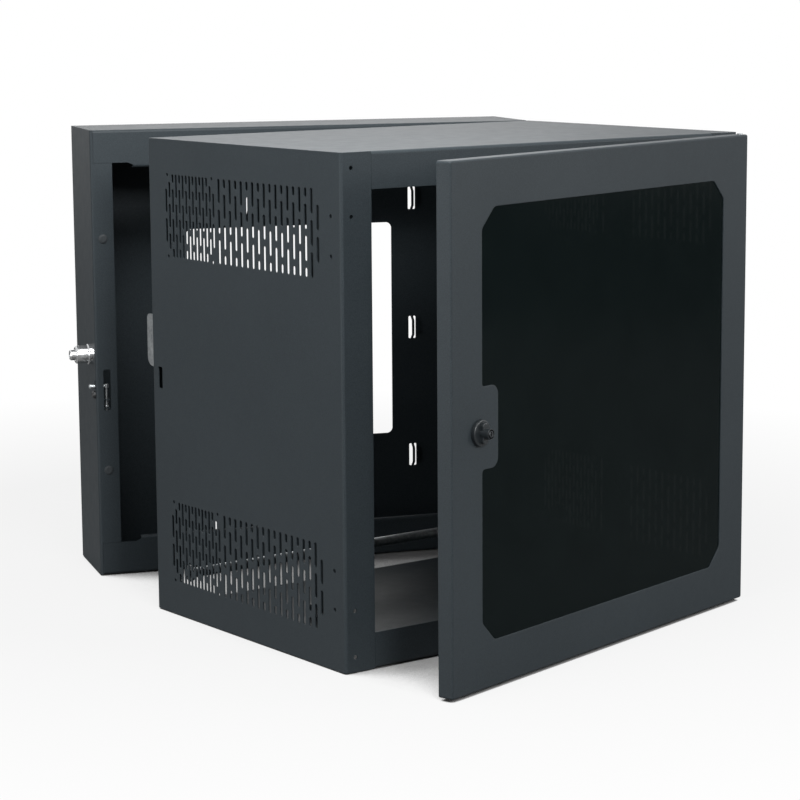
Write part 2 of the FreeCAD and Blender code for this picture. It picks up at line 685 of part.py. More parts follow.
def rack_rail():
    """Left 19 inch rail: angle section with three tapped holes per rack unit."""
    path = [(-RAIL_INNER, RAIL_FRONT), (-RAIL_OUTER, RAIL_FRONT), (-RAIL_OUTER, RAIL_FRONT + RAIL_SIDE)]
    rail = prism(sheet_section(path[::-1], RAIL_SHEET, RAIL_BEND), plan(-RAIL_HALF), Vector(0, 0, 2 * RAIL_HALF))
    cuts = []
    for unit in range(RACK_UNITS):
        for step in RAIL_HOLE_STEPS:
            z = -RACK_UNITS * UNIT / 2 + unit * UNIT + step
            hole = Vector(-RAIL_HOLE_SPACING / 2, RAIL_FRONT - 1, z)
            cuts.append(rod(RAIL_HOLE_RADIUS, hole, REARWARD, RAIL_SHEET + 2))
    for end in (-1, 1):
        for y in bracket_bolt_places():
            hole = Vector(-RAIL_OUTER - 1, y, end * BRACKET_BOLT_Z)
            cuts.append(rod(BOLT_RADIUS + 0.1, hole, RIGHTWARD, RAIL_SHEET + 2))
    return rail.cut(cuts)


BRACKET_PLATE_Z = RAIL_HALF + RAIL_BRACKET_GAP
BRACKET_BOLT_Z = BRACKET_PLATE_Z - RAIL_BRACKET_DROP + 7.0


def bracket_bolt_places():
    """Y places of the two bolts through a bracket's rail side."""
    return (RAIL_FRONT + RAIL_SIDE * 0.35, RAIL_FRONT + RAIL_SIDE * 0.75)


def rail_bracket():
    """Upper left bracket: inverted channel from the side panel to the rail."""
    wall = LEFT + SHEET + SEAM
    path = [(wall, BRACKET_PLATE_Z - RAIL_BRACKET_DROP), (wall, BRACKET_PLATE_Z),
            (-RAIL_OUTER, BRACKET_PLATE_Z), (-RAIL_OUTER, BRACKET_PLATE_Z - RAIL_BRACKET_DROP)]
    section = sheet_section(path[::-1], RAIL_SHEET, RAIL_BEND)
    bracket = prism(section, front_view(RAIL_FRONT), Vector(0, RAIL_BRACKET_LENGTH, 0))
    cuts = []
    for y in bracket_bolt_places():
        hole = Vector(-RAIL_OUTER - RAIL_SHEET - 1, y, BRACKET_BOLT_Z)
        cuts.append(rod(BOLT_RADIUS + 0.1, hole, RIGHTWARD, RAIL_SHEET + 2))
    return bracket.cut(cuts)


def rail_brackets(side):
    """Both brackets of one rail."""
    upper = rail_bracket()
    pair = [upper, mirrored_z(upper)]
    if side > 0:
        pair = [mirrored_x(bracket) for bracket in pair]
    return Part.makeCompound(pair)


def rail_bolts():
    """Bolts and nuts that clamp the rails to their brackets."""
    bolts = []
    for y in bracket_bolt_places():
        outside = -RAIL_OUTER - RAIL_SHEET
        head = rod(BOLT_HEAD_RADIUS, Vector(-RAIL_OUTER + RAIL_SHEET, y, BRACKET_BOLT_Z), RIGHTWARD, BOLT_HEAD)
        shank = rod(BOLT_RADIUS, Vector(outside - BOLT_HEAD, y, BRACKET_BOLT_Z), RIGHTWARD,
                    2 * RAIL_SHEET + BOLT_HEAD)
        nut = hexagon(10.0, Vector(outside - BOLT_HEAD, y, BRACKET_BOLT_Z), RIGHTWARD, BOLT_HEAD)
        bolts.append(head.fuse([shank, nut]))
    quarter = Part.makeCompound(bolts)
    half = [quarter, mirrored_z(quarter)]
    return Part.makeCompound(half + [mirrored_x(shape) for shape in half])


# ---- centre section: strike and hook ------------------------------------------------
def lock_strike():
    """Zinc arm that reaches into the back box and takes the side lock's bolt."""
    x = LEFT + STRIKE_INSET
    base_y = CENTRE_REAR - SHEET - SEAM
    tip = CENTRE_REAR + STRIKE_REACH
    neck = CENTRE_REAR + STRIKE_NECK
    corners = [(base_y - STRIKE_SHEET, -STRIKE_FOOT, 0), (neck, -STRIKE_FOOT, STRIKE_CORNER),
               (neck + STRIKE_FOOT + STRIKE_TIP_FOOT, STRIKE_TIP_FOOT, STRIKE_CORNER),
               (tip, STRIKE_TIP_FOOT, STRIKE_TIP_CORNER),
               (tip, STRIKE_TOP, STRIKE_CORNER), (base_y - STRIKE_SHEET, STRIKE_TOP, 0)]
    arm = prism(corners, side_view(x), Vector(STRIKE_SHEET, 0, 0))
    base = block(x + STRIKE_SHEET - STRIKE_BASE, x + STRIKE_SHEET, base_y - STRIKE_SHEET, base_y,
                 -STRIKE_FOOT, STRIKE_TOP)
    hole = rod(STRIKE_HOLE_RADIUS, Vector(x - 1, LOCK_WALL_Y, 0), RIGHTWARD, STRIKE_SHEET + 2)
    return arm.fuse(base).cut(hole)


def latch_hook():
    """Hook on the rear flange that drops behind the latch head in the back box."""
    x = LEFT + HOOK_INSET
    base_y = CENTRE_REAR - SHEET - SEAM
    tip = CENTRE_REAR + HOOK_REACH
    corners = [(base_y - HOOK_SHEET, HOOK_TOP, 0), (base_y - HOOK_SHEET, HOOK_ARM_BOTTOM, 0),
               (tip - HOOK_LIP, HOOK_ARM_BOTTOM, 0), (tip - HOOK_LIP, HOOK_LIP_BOTTOM, 0),
               (tip - HOOK_LIP + 2, HOOK_LIP_BOTTOM, 0), (tip, HOOK_LIP_BOTTOM + 6, 0), (tip, HOOK_TOP, 3)]
    hook = prism(corners, side_view(x), Vector(HOOK_SHEET, 0, 0))
    base = block(x, x + HOOK_SHEET + 14, base_y - HOOK_SHEET, base_y, HOOK_TOP, HOOK_ARM_BOTTOM)
    return hook.fuse(base)


# ---- door hinge brackets ------------------------------------------------------------
def door_tab_span(end):
    """Low and high faces of a hinge tab just inside the door's top or bottom edge."""
    near = DOOR_TOP - SHEET - DOOR_TAB_GAP
    far = near - DOOR_TAB_THICKNESS
    return (far, near) if end > 0 else (-near, -far)


def door_hinge_bracket():
    """Upper bracket: plate behind the right flange with a tab out to the pin."""
    low, high = door_tab_span(1)
    plate_front = CENTRE_FRONT + SHEET
    left = RIGHT - FLANGE_HOLE_INSET - 10
    right = RIGHT - SHEET - SEAM - BEND
    plate = block(left, right, plate_front, plate_front + DOOR_TAB_THICKNESS, high, TOP - FLANGE_HOLE_ENDS[1] - 9)
    radius = DOOR_TAB_WIDTH / 2
    tab = block(DOOR_AXIS.x - radius, DOOR_AXIS.x + radius, DOOR_AXIS.y,
                plate_front + DOOR_TAB_THICKNESS, low, high)
    tab = tab.fuse(rod(radius, Vector(DOOR_AXIS.x, DOOR_AXIS.y, low), UP, high - low))
    bore = rod(DOOR_PIN_RADIUS + DOOR_PIN_CLEARANCE, Vector(DOOR_AXIS.x, DOOR_AXIS.y, low - 1), UP,
               high - low + 2)
    holes = [bore]
    for inset in FLANGE_HOLE_ENDS:
        hole = Vector(RIGHT - FLANGE_HOLE_INSET, plate_front - 1, TOP - inset)
        holes.append(rod(FLANGE_HOLE_RADIUS, hole, REARWARD, DOOR_TAB_THICKNESS + 2))
    return plate.fuse(tab).cut(holes)


def door_hinge_screws():
    """Low screws through the right flange into the hinge brackets."""
    screws = []
    for end in (-1, 1):
        for inset in FLANGE_HOLE_ENDS:
            face = Vector(RIGHT - FLANGE_HOLE_INSET, CENTRE_FRONT, end * (TOP - inset))
            head = rod(FLANGE_HOLE_RADIUS * 1.8, face, -REARWARD, SEAM)
            screws.append(head.fuse(rod(FLANGE_HOLE_RADIUS - 0.05, face, REARWARD, SHEET + DOOR_TAB_THICKNESS + 2)))
    return Part.makeCompound(screws)


# ---- door ---------------------------------------------------------------------------
def door_pan():
    """Closed-sided pan: front skin with four returned edges."""
    corner = DOOR_BEND
    inner = max(DOOR_BEND - SHEET, 0.5)
    outside = rounded_slab(DOOR_LEFT, DOOR_RIGHT, DOOR_BOTTOM, DOOR_TOP, DOOR_FRONT, DOOR_REAR, corner)
    rim = [edge for edge in outside.Edges if abs(edge.BoundBox.YMax - DOOR_FRONT) < 1e-6]
    outside = outside.makeFillet(DOOR_BEND - 0.5, rim)
    hollow = rounded_slab(DOOR_LEFT + SHEET, DOOR_RIGHT - SHEET, DOOR_BOTTOM + SHEET, DOOR_TOP - SHEET,
                          DOOR_FRONT + SHEET, DOOR_REAR + 1, inner)
    return outside.cut(hollow)


def window_hole():
    """Window opening with the lock tab left standing in its left edge."""
    x0 = -WINDOW_OPENING_WIDTH / 2
    x1 = WINDOW_OPENING_WIDTH / 2
    z1 = WINDOW_OPENING_HEIGHT / 2
    tab = LOCK_TAB_HEIGHT / 2
    reach = x0 + LOCK_TAB_REACH
    fillet = 4.0
    corners = [(x0, -z1, WINDOW_CORNER), (x1, -z1, WINDOW_CORNER), (x1, z1, WINDOW_CORNER),
               (x0, z1, WINDOW_CORNER), (x0, tab, fillet), (reach, tab, LOCK_TAB_CORNER),
               (reach, -tab, LOCK_TAB_CORNER), (x0, -tab, fillet)]
    return prism(corners, front_view(DOOR_FRONT - 1), Vector(0, SHEET + 2, 0))


def door_frame():
    """Door pan with window, lock hole, pin holes and the notches that clear the hinge tabs."""
    pan = door_pan()
    lock = Vector(LOCK_X, DOOR_FRONT - 1, LOCK_Z)
    cuts = [window_hole(), rod(LOCK_BODY_RADIUS + RUNNING, lock, REARWARD, SHEET + 2)]
    pin = DOOR_PIN_RADIUS + DOOR_PIN_CLEARANCE
    for end in (-1, 1):
        low, high = door_tab_span(end)
        cuts.append(rod(pin, Vector(DOOR_AXIS.x, DOOR_AXIS.y, end * DOOR_TOP - SHEET - 1), UP, 2 * SHEET + 2))
        cuts.append(block(DOOR_RIGHT - SHEET - 2, DOOR_RIGHT + 1, DOOR_AXIS.y - 7.0, DOOR_REAR + 1,
                          low - 0.8, high + 0.8))
    pan = pan.cut(cuts)
    return pan.fuse(retainer_studs()).removeSplitter()


def retainer_places():
    """Centre lines of the window retainer strips, as (x0, z0, x1, z1)."""
    x = WINDOW_OPENING_WIDTH / 2 + WINDOW_OVERLAP / 2 + 1
    z = WINDOW_OPENING_HEIGHT / 2 + WINDOW_OVERLAP / 2 + 1
    end = z - 16.0
    gap = LOCK_TAB_HEIGHT / 2 + 6
    return [(-x, gap, -x, end), (-x, -end, -x, -gap), (x, -end, x, end), (-x, z, x, z), (-x, -z, x, -z)]


def strip_studs(place):
    """Stud positions along one retainer strip."""
    x0, z0, x1, z1 = place
    long = math.hypot(x1 - x0, z1 - z0)
    count = max(2, round(long / 165))
    studs = []
    for i in range(count):
        share = (i + 0.5) / count
        studs.append((x0 + (x1 - x0) * share, z0 + (z1 - z0) * share))
    return studs


def retainer_studs():
    """Weld studs on the back of the skin that hold the retainer strips."""
    studs = []
    for place in retainer_places():
        for x, z in strip_studs(place):
            studs.append(rod(STUD_RADIUS, Vector(x, DOOR_FRONT + SHEET - 0.2, z), REARWARD, STUD_LENGTH + 0.2))
    return studs


def door_window():
    """Smoked acrylic sheet behind the skin, notched for the lock and drilled for the studs."""
    half_x = WINDOW_OPENING_WIDTH / 2 + WINDOW_OVERLAP
    half_z = WINDOW_OPENING_HEIGHT / 2 + WINDOW_OVERLAP
    front = DOOR_FRONT + SHEET
    sheet = rounded_slab(-half_x, half_x, -half_z, half_z, front, front + WINDOW_THICKNESS, 6.0)
    cuts = [rod(LOCK_NOTCH_RADIUS, Vector(LOCK_X, front - 1, LOCK_Z), REARWARD, WINDOW_THICKNESS + 2)]
    for place in retainer_places():
        for x, z in strip_studs(place):
            cuts.append(rod(STUD_RADIUS + 0.2, Vector(x, front - 1, z), REARWARD, WINDOW_THICKNESS + 2))
    return sheet.cut(cuts)


def window_retainers():
    """Steel strips that clamp the acrylic against the skin."""
    back = DOOR_FRONT + SHEET + WINDOW_THICKNESS
    strips = []
    half = RETAINER_WIDTH / 2
    for place in retainer_places():
        x0, z0, x1, z1 = place
        wide = half if x0 == x1 else 0.0
        tall = half if z0 == z1 else 0.0
        strip = block(x0 - wide, x1 + wide, back, back + RETAINER_THICKNESS, z0 - tall, z1 + tall)
        holes = []
        for x, z in strip_studs(place):
            holes.append(rod(STUD_RADIUS + 0.2, Vector(x, back - 1, z), REARWARD, RETAINER_THICKNESS + 2))
        strips.append(strip.cut(holes))
    return Part.makeCompound(strips)


def retainer_nuts():
    """Nuts on the window studs."""
    face = DOOR_FRONT + SHEET + WINDOW_THICKNESS + RETAINER_THICKNESS
    nuts = []
    for place in retainer_places():
        for x, z in strip_studs(place):
            nut = hexagon(NUT_ACROSS, Vector(x, face, z), REARWARD, NUT_HEIGHT)
            nuts.append(nut.cut(rod(STUD_RADIUS + NUT_CLEARANCE, Vector(x, face - 1, z), REARWARD, NUT_HEIGHT + 2)))
    return Part.makeCompound(nuts)


def door_hinge_pins():
    """Headed pins through the door's top and bottom edges into the hinge tabs."""
    pins = []
    for end in (-1, 1):
        seat = Vector(DOOR_AXIS.x, DOOR_AXIS.y, end * DOOR_TOP)
        shank = rod(DOOR_PIN_RADIUS, seat, UP * -end, DOOR_PIN_LENGTH)
        pins.append(shank.fuse(rod(DOOR_PIN_HEAD_RADIUS, seat, UP * end, DOOR_PIN_HEAD)))
    return Part.makeCompound(pins)


# ---- door lock ----------------------------------------------------------------------
CAM_FRONT = CENTRE_FRONT + SHEET + CAM_BEHIND_FLANGE


def lock_body():
    """Threaded sleeve and nut that carry the knob's spindle in the door skin."""
    skin_back = DOOR_FRONT + SHEET
    sleeve = rod(LOCK_BODY_RADIUS, Vector(LOCK_X, DOOR_FRONT + SEAM, LOCK_Z), REARWARD, 17.0)
    nut = hexagon(22.0, Vector(LOCK_X, skin_back, LOCK_Z), REARWARD, 4.0)
    bore = rod(SPINDLE_RADIUS + RUNNING, Vector(LOCK_X, DOOR_FRONT - 1, LOCK_Z), REARWARD, DOOR_DEPTH + 4)
    return sleeve.fuse(nut).cut(bore)


def door_knob():
    """Quarter-turn knob: disc, upright grip, barrel for the key and spindle."""
    face = DOOR_FRONT - SEAM
    disc = rod(KNOB_DISC_RADIUS, Vector(LOCK_X, face, LOCK_Z), -REARWARD, KNOB_DISC)
    rim = [edge for edge in disc.Edges if abs(edge.BoundBox.YMax - (face - KNOB_DISC)) < 1e-6]
    disc = disc.makeFillet(1.2, rim)
    grip_face = face - KNOB_DISC
    grip = block(LOCK_X - KNOB_GRIP_WIDTH / 2, LOCK_X + KNOB_GRIP_WIDTH / 2, grip_face + 1,
                 grip_face - KNOB_GRIP, LOCK_Z - KNOB_GRIP_HEIGHT / 2, LOCK_Z + KNOB_GRIP_HEIGHT / 2)
    barrel = rod(KNOB_BARREL_RADIUS, Vector(LOCK_X, grip_face, LOCK_Z), -REARWARD, KNOB_GRIP + KNOB_BARREL)
    spindle = rod(SPINDLE_RADIUS, Vector(LOCK_X, face, LOCK_Z), REARWARD, CAM_FRONT - face)
    knob = disc.fuse([grip, barrel, spindle])
    socket = rod(KEY_PLUG_RADIUS + RUNNING, Vector(LOCK_X, grip_face - KNOB_GRIP - KNOB_BARREL - 1, LOCK_Z),
                 REARWARD, KNOB_GRIP + KNOB_BARREL + 1)
    return knob.cut(socket)


def key_plug():
    """Key cylinder plug with its keyway."""
    face = DOOR_FRONT - SEAM - KNOB_DISC - KNOB_GRIP - KNOB_BARREL
    plug = rod(KEY_PLUG_RADIUS, Vector(LOCK_X, face - 0.5, LOCK_Z), REARWARD, KNOB_GRIP + KNOB_BARREL + 0.2)
    slot = block(LOCK_X - KEY_SLOT_WIDTH / 2, LOCK_X + KEY_SLOT_WIDTH / 2, face - 1, face + 6,
                 LOCK_Z - KEY_SLOT_HEIGHT / 2, LOCK_Z + KEY_SLOT_HEIGHT / 2)
    return plug.cut(slot)


def lock_cam():
    """Cam on the spindle's end; it hangs straight down while unlatched."""
    half = CAM_WIDTH / 2
    top = LOCK_Z + half
    foot = LOCK_Z - CAM_LENGTH
    corners = [(LOCK_X - half, top, 3), (LOCK_X - half, foot, 4), (LOCK_X + half, foot, 4), (LOCK_X + half, top, 3)]
    cam = prism(corners, front_view(CAM_FRONT), Vector(0, CAM_THICKNESS, 0))
    screw = rod(2.5, Vector(LOCK_X, CAM_FRONT - 1, LOCK_Z), REARWARD, CAM_THICKNESS + 2)
    return cam.cut(screw)


def cam_screw():
    """Screw that holds the cam on the spindle."""
    back = CAM_FRONT + CAM_THICKNESS
    head = hexagon(9.0, Vector(LOCK_X, back, LOCK_Z), REARWARD, 3.0)
    return head.fuse(rod(2.45, Vector(LOCK_X, CAM_FRONT, LOCK_Z), REARWARD, CAM_THICKNESS))


# ---- side lock ----------------------------------------------------------------------
def side_lock_housing():
    """Plated housing of the push lock: collar and barrel outside, thread inside."""
    wall = Vector(LEFT, LOCK_WALL_Y, 0)
    collar = rod(LOCK_COLLAR_RADIUS, wall, -RIGHTWARD, LOCK_COLLAR)
    barrel = rod(LOCK_BARREL_RADIUS, wall, -RIGHTWARD, LOCK_COLLAR + LOCK_BARREL)
    rim = [edge for edge in barrel.Edges if edge.BoundBox.XMax < LEFT - LOCK_COLLAR - 1]
    barrel = barrel.makeChamfer(1.5, [edge for edge in rim if edge.BoundBox.XLength < 1e-6])
    thread = rod(LOCK_THREAD_RADIUS, wall, RIGHTWARD, SHEET + LOCK_NUT + 4)
    deep = LEFT - LOCK_COLLAR - LOCK_BARREL
    bore = rod(PLUNGER_RADIUS + RUNNING, Vector(deep - 1, LOCK_WALL_Y, 0), RIGHTWARD, LOCK_COLLAR + LOCK_BARREL)
    through = rod(BOLT_ROD_RADIUS + RUNNING, wall - RIGHTWARD * LOCK_COLLAR, RIGHTWARD, LOCK_COLLAR + LOCK_BARREL)
    return collar.fuse([barrel, thread]).cut([bore, through])


def side_lock_nut():
    """Nut that draws the lock housing against the side wall."""
    seat = Vector(LEFT + SHEET, LOCK_WALL_Y, 0)
    nut = hexagon(LOCK_NUT_ACROSS, seat, RIGHTWARD, LOCK_NUT)
    return nut.cut(rod(LOCK_THREAD_RADIUS + NUT_CLEARANCE, seat - RIGHTWARD, RIGHTWARD, LOCK_NUT + 2))


def side_lock_plunger():
    """Plunger standing out of the housing, with the bolt on its inner end."""
    outer = LEFT - LOCK_COLLAR - LOCK_BARREL - PLUNGER_OUT
    head_length = PLUNGER_OUT + LOCK_COLLAR + LOCK_BARREL - 2 - PLUNGER_TRAVEL
    head = rod(PLUNGER_RADIUS, Vector(outer, LOCK_WALL_Y, 0), RIGHTWARD, head_length)
    rim = [edge for edge in head.Edges if edge.BoundBox.XMax < outer + 1e-6]
    head = head.makeChamfer(1.2, rim)
    bolt = rod(BOLT_ROD_RADIUS, Vector(outer + head_length, LOCK_WALL_Y, 0), RIGHTWARD,
               LEFT + BOLT_REST_REACH - outer - head_length)
    return head.fuse(bolt)


# ---- swing latch --------------------------------------------------------------------
LATCH_Y = BACK_FRONT + SHEET + LATCH_ROD_BEHIND
LATCH_X = LEFT + LATCH_SLOT_INSET


def latch_bracket():
    """Bracket on the left wall with two ears that guide the latch rod."""
    wall = LEFT + SHEET
    front = BACK_FRONT + BEND + SEAM
    back = LATCH_Y + 9
    low = LATCH_COLLAR_TOP - LATCH_COLLAR_HEIGHT - SEAM
    plate = block(wall, wall + SHEET, front, back, low - SHEET, LATCH_PLATE_TOP)
    ears = []
    for z in (low, LATCH_EAR_Z):
        ears.append(block(wall, LATCH_X + 4.5, front, back, z - SHEET, z))
    rod_hole = rod(LATCH_ROD_RADIUS + RUNNING, Vector(LATCH_X, LATCH_Y, low - 3), UP, LATCH_PLATE_TOP - low + 3)
    screw_hole = rod(1.95, Vector(wall - 1, LATCH_Y, LATCH_SCREW_Z), RIGHTWARD, SHEET + 2)
    return plate.fuse(ears).cut([rod_hole, screw_hole])


def latch_slide():
    """Rod with its head and collar, and the thumb pin out through the side wall."""
    middle = LATCH_HEAD_TOP - LATCH_HEAD_HEIGHT / 2
    foot = LATCH_COLLAR_TOP - LATCH_COLLAR_HEIGHT - 5
    head = rod(LATCH_HEAD_RADIUS, Vector(LATCH_X, LATCH_Y, LATCH_HEAD_TOP), -UP, LATCH_HEAD_HEIGHT)
    shank = rod(LATCH_ROD_RADIUS, Vector(LATCH_X, LATCH_Y, foot), UP, LATCH_HEAD_TOP - foot - 1)
    collar = rod(LATCH_HEAD_RADIUS, Vector(LATCH_X, LATCH_Y, LATCH_COLLAR_TOP), -UP, LATCH_COLLAR_HEIGHT)
    neck = rod(THUMB_PIN_NECK, Vector(LEFT - 1, LATCH_Y, middle), RIGHTWARD, LATCH_SLOT_INSET + 1)
    thumb = rod(THUMB_PIN_RADIUS, Vector(LEFT - SEAM, LATCH_Y, middle), -RIGHTWARD, THUMB_PIN_OUT)
    return head.fuse([shank, collar, neck, thumb])


def latch_screw():
    """Screw below the thumb pin that fixes the latch bracket to the side wall."""
    seat = Vector(LEFT, LATCH_Y, LATCH_SCREW_Z)
    head = Part.makeCone(LATCH_SCREW_RADIUS, LATCH_SCREW_RADIUS * 0.7, 4.5, seat, -RIGHTWARD)
    return head.fuse(rod(1.9, seat, RIGHTWARD, 2 * SHEET))


# ---- node list ----------------------------------------------------------------------
def back_box_nodes():
    """Nodes fixed to the wall, and the two small sliders in it."""
    upper = back_box_end()
    return {
        "back_box_shell": back_box_shell(),
        "back_box_top": upper,
        "back_box_bottom": mirrored_z(upper),
        "flange_bumpers": flange_bumpers(),
        "swing_hinge_fixed_leaves": swing_hinge_leaves(False),
        "swing_hinge_pins": swing_hinge_pins(),
        "swing_hinge_fixed_screws": hinge_screws(False),
        "side_lock_housing": side_lock_housing(),
        "side_lock_nut": side_lock_nut(),
        "side_lock_plunger": side_lock_plunger(),
        "latch_bracket": latch_bracket(),
        "latch_screw": latch_screw(),
        "latch_slide": latch_slide(),
    }


def centre_nodes():
    """Nodes of the swinging section, closed pose."""
    roof = end_panel()
    rail = rack_rail()
    bracket = door_hinge_bracket()
    return {
        "side_panel_left": side_panel_left(),
        "side_panel_right": side_panel_right(),
        "top_panel": roof,
        "bottom_panel": mirrored_z(roof),
        "lower_cross_bar": lower_cross_bar(),
        "rack_rail_left": rail,
        "rack_rail_right": mirrored_x(rail),
        "rail_brackets_left": rail_brackets(-1),
        "rail_brackets_right": rail_brackets(1),
        "rail_bolts": rail_bolts(),
        "swing_hinge_moving_leaves": swing_hinge_leaves(True),
        "swing_hinge_moving_screws": hinge_screws(True),
        "lock_strike": lock_strike(),
        "latch_hook": latch_hook(),
        "door_hinge_bracket_upper": bracket,
        "door_hinge_bracket_lower": mirrored_z(bracket),
        "door_hinge_screws": door_hinge_screws(),
    }


def door_nodes():
    """Nodes of the door, closed pose."""
    return {
        "door_frame": door_frame(),
        "door_window": door_window(),
        "window_retainers": window_retainers(),
        "retainer_nuts": retainer_nuts(),
        "door_hinge_pins": door_hinge_pins(),
        "lock_body": lock_body(),
        "door_knob": door_knob(),
        "key_plug": key_plug(),
        "lock_cam": lock_cam(),
        "cam_screw": cam_screw(),
    }


def main():
    """Build every node in the stored pose and write its STEP file."""
    nodes = back_box_nodes()
    for name, shape in centre_nodes().items():
        nodes[name] = swung(shape)
    for name, shape in door_nodes().items():
        nodes[name] = opened(shape)
    for name, shape in nodes.items():
        shape.exportStep(f"parts/{name}.step")
        print(name, len(shape.Solids), "solids", round(shape.Volume), "mm3", shape.isValid())


main()
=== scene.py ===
"""Shapes and finishes that dress the swing-out wall mount network cabinet.

Sizes are millimetres in the closed cabinet's layout, as its maker would draw it.  Each
piece is then carried to the stored pose of its section and turned into metres.
"""
import json
import logging
import math
from dataclasses import dataclass, field
from enum import Enum
from typing import Callable, Optional, Sequence, Union

import bmesh
import bpy
from mathutils import Matrix, Vector


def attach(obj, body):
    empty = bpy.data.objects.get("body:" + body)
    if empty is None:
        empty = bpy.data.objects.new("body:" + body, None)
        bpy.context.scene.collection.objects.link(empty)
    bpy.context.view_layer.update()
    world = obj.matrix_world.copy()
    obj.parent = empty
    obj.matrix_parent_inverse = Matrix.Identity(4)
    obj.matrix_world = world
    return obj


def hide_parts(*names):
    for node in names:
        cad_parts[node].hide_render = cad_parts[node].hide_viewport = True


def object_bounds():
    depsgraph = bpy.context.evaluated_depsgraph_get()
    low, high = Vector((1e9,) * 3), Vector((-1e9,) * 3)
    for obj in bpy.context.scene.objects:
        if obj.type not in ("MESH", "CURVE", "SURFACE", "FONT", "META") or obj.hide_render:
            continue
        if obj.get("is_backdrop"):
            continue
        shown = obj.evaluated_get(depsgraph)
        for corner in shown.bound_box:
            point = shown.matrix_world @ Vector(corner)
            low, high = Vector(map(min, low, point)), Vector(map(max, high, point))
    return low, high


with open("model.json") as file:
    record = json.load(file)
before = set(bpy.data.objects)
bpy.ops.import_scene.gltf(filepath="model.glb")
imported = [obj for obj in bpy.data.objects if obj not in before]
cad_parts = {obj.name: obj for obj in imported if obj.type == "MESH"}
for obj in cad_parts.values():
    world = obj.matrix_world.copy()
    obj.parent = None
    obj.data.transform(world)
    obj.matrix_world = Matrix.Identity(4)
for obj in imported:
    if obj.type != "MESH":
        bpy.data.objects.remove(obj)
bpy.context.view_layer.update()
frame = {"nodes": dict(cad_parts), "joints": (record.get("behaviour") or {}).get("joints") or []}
LOG = logging.getLogger("cabinet")
MM = 0.001
Pair = tuple[float, float]
Loop = list[Pair]
Colour = tuple[float, float, float]


# ---- layout -------------------------------------------------------------------------
@dataclass(frozen=True)
class Layout:
    """Sizes that the three sections share, and the planes that follow from them."""

    width: float = 638.0
    height: float = 622.3
    back_depth: float = 138.0
    centre_depth: float = 427.0
    door_depth: float = 20.5
    sheet: float = 1.5
    bend: float = 4.0
    rear_bend: float = 2.2
    seam: float = 0.3
    swing_gap: float = 2.0
    door_gap: float = 1.5
    door_reveal: float = 2.3

    @property
    def right(self) -> float:
        """Right-hand wall."""
        return self.width / 2

    @property
    def top(self) -> float:
        """Top face."""
        return self.height / 2

    @property
    def back_front(self) -> float:
        """Front plane of the back box."""
        return -self.back_depth

    @property
    def centre_rear(self) -> float:
        """Rear plane of the centre section."""
        return self.back_front - self.swing_gap

    @property
    def centre_front(self) -> float:
        """Front plane of the centre section."""
        return self.centre_rear - self.centre_depth

    @property
    def door_rear(self) -> float:
        """Rear edge of the door's sides."""
        return self.centre_front - self.door_gap

    @property
    def door_front(self) -> float:
        """Front face of the door."""
        return self.door_rear - self.door_depth


LAYOUT = Layout()


class Body(Enum):
    """Moving bodies of the cabinet."""

    BACK_BOX = "back_box"
    SIDE_LOCK = "side_lock"
    SWING_LATCH = "swing_latch"
    CENTRE = "center_section"
    DOOR = "door"
    KNOB = "knob"
    KEY = "key_cylinder"


class Side(Enum):
    """Which way a piece lies from the cabinet's middle."""

    LEFT = -1
    RIGHT = 1


def turn_about(point: Vector, degrees: float) -> Matrix:
    """Turn about an upright line.

    Args:
        point: A point on the line, in metres.
        degrees: The turn, anticlockwise from above.

    Returns:
        The matrix of the turn.
    """
    turn = Matrix.Rotation(math.radians(degrees), 4, "Z")
    return Matrix.Translation(point) @ turn @ Matrix.Translation(-point)


class Stance:
    """Where the closed layout of each section stands at rest."""

    def __init__(self, joints: Sequence[dict]) -> None:
        """Work the stored pose out of the two upright joints, whose lower limit is closed."""
        named = {joint["name"]: joint for joint in joints}
        swing, door = named["center_swing"], named["door_swing"]
        centre = turn_about(Vector(swing["pos_m"]), -swing["range_deg"][0])
        pin = centre.inverted() @ Vector(door["pos_m"])
        leaf = centre @ turn_about(pin, -door["range_deg"][0])
        wall = Matrix.Identity(4)
        self._places = {
            Body.BACK_BOX: wall, Body.SIDE_LOCK: wall, Body.SWING_LATCH: wall,
            Body.CENTRE: centre, Body.DOOR: leaf, Body.KNOB: leaf, Body.KEY: leaf,
        }

    def of(self, body: Body) -> Matrix:
        """Matrix that carries a body's closed layout to the stored pose."""
        return self._places[body]


# ---- node benches -------------------------------------------------------------------
class Signal:
    """A socket that takes part in sums, which add Math nodes as they go."""

    def __init__(self, bench: "Bench", socket: bpy.types.NodeSocket) -> None:
        """Wrap one output socket of a bench."""
        self.bench = bench
        self.socket = socket

    def _sum(self, operation: str, first: object, second: object) -> "Signal":
        """One Math node on two values or signals."""
        return self.bench.node("ShaderNodeMath", {"operation": operation}, {0: first, 1: second})

    def __add__(self, other: object) -> "Signal":
        """Signal plus a value."""
        return self._sum("ADD", self, other)

    __radd__ = __add__

    def __mul__(self, other: object) -> "Signal":
        """Signal times a value."""
        return self._sum("MULTIPLY", self, other)

    __rmul__ = __mul__


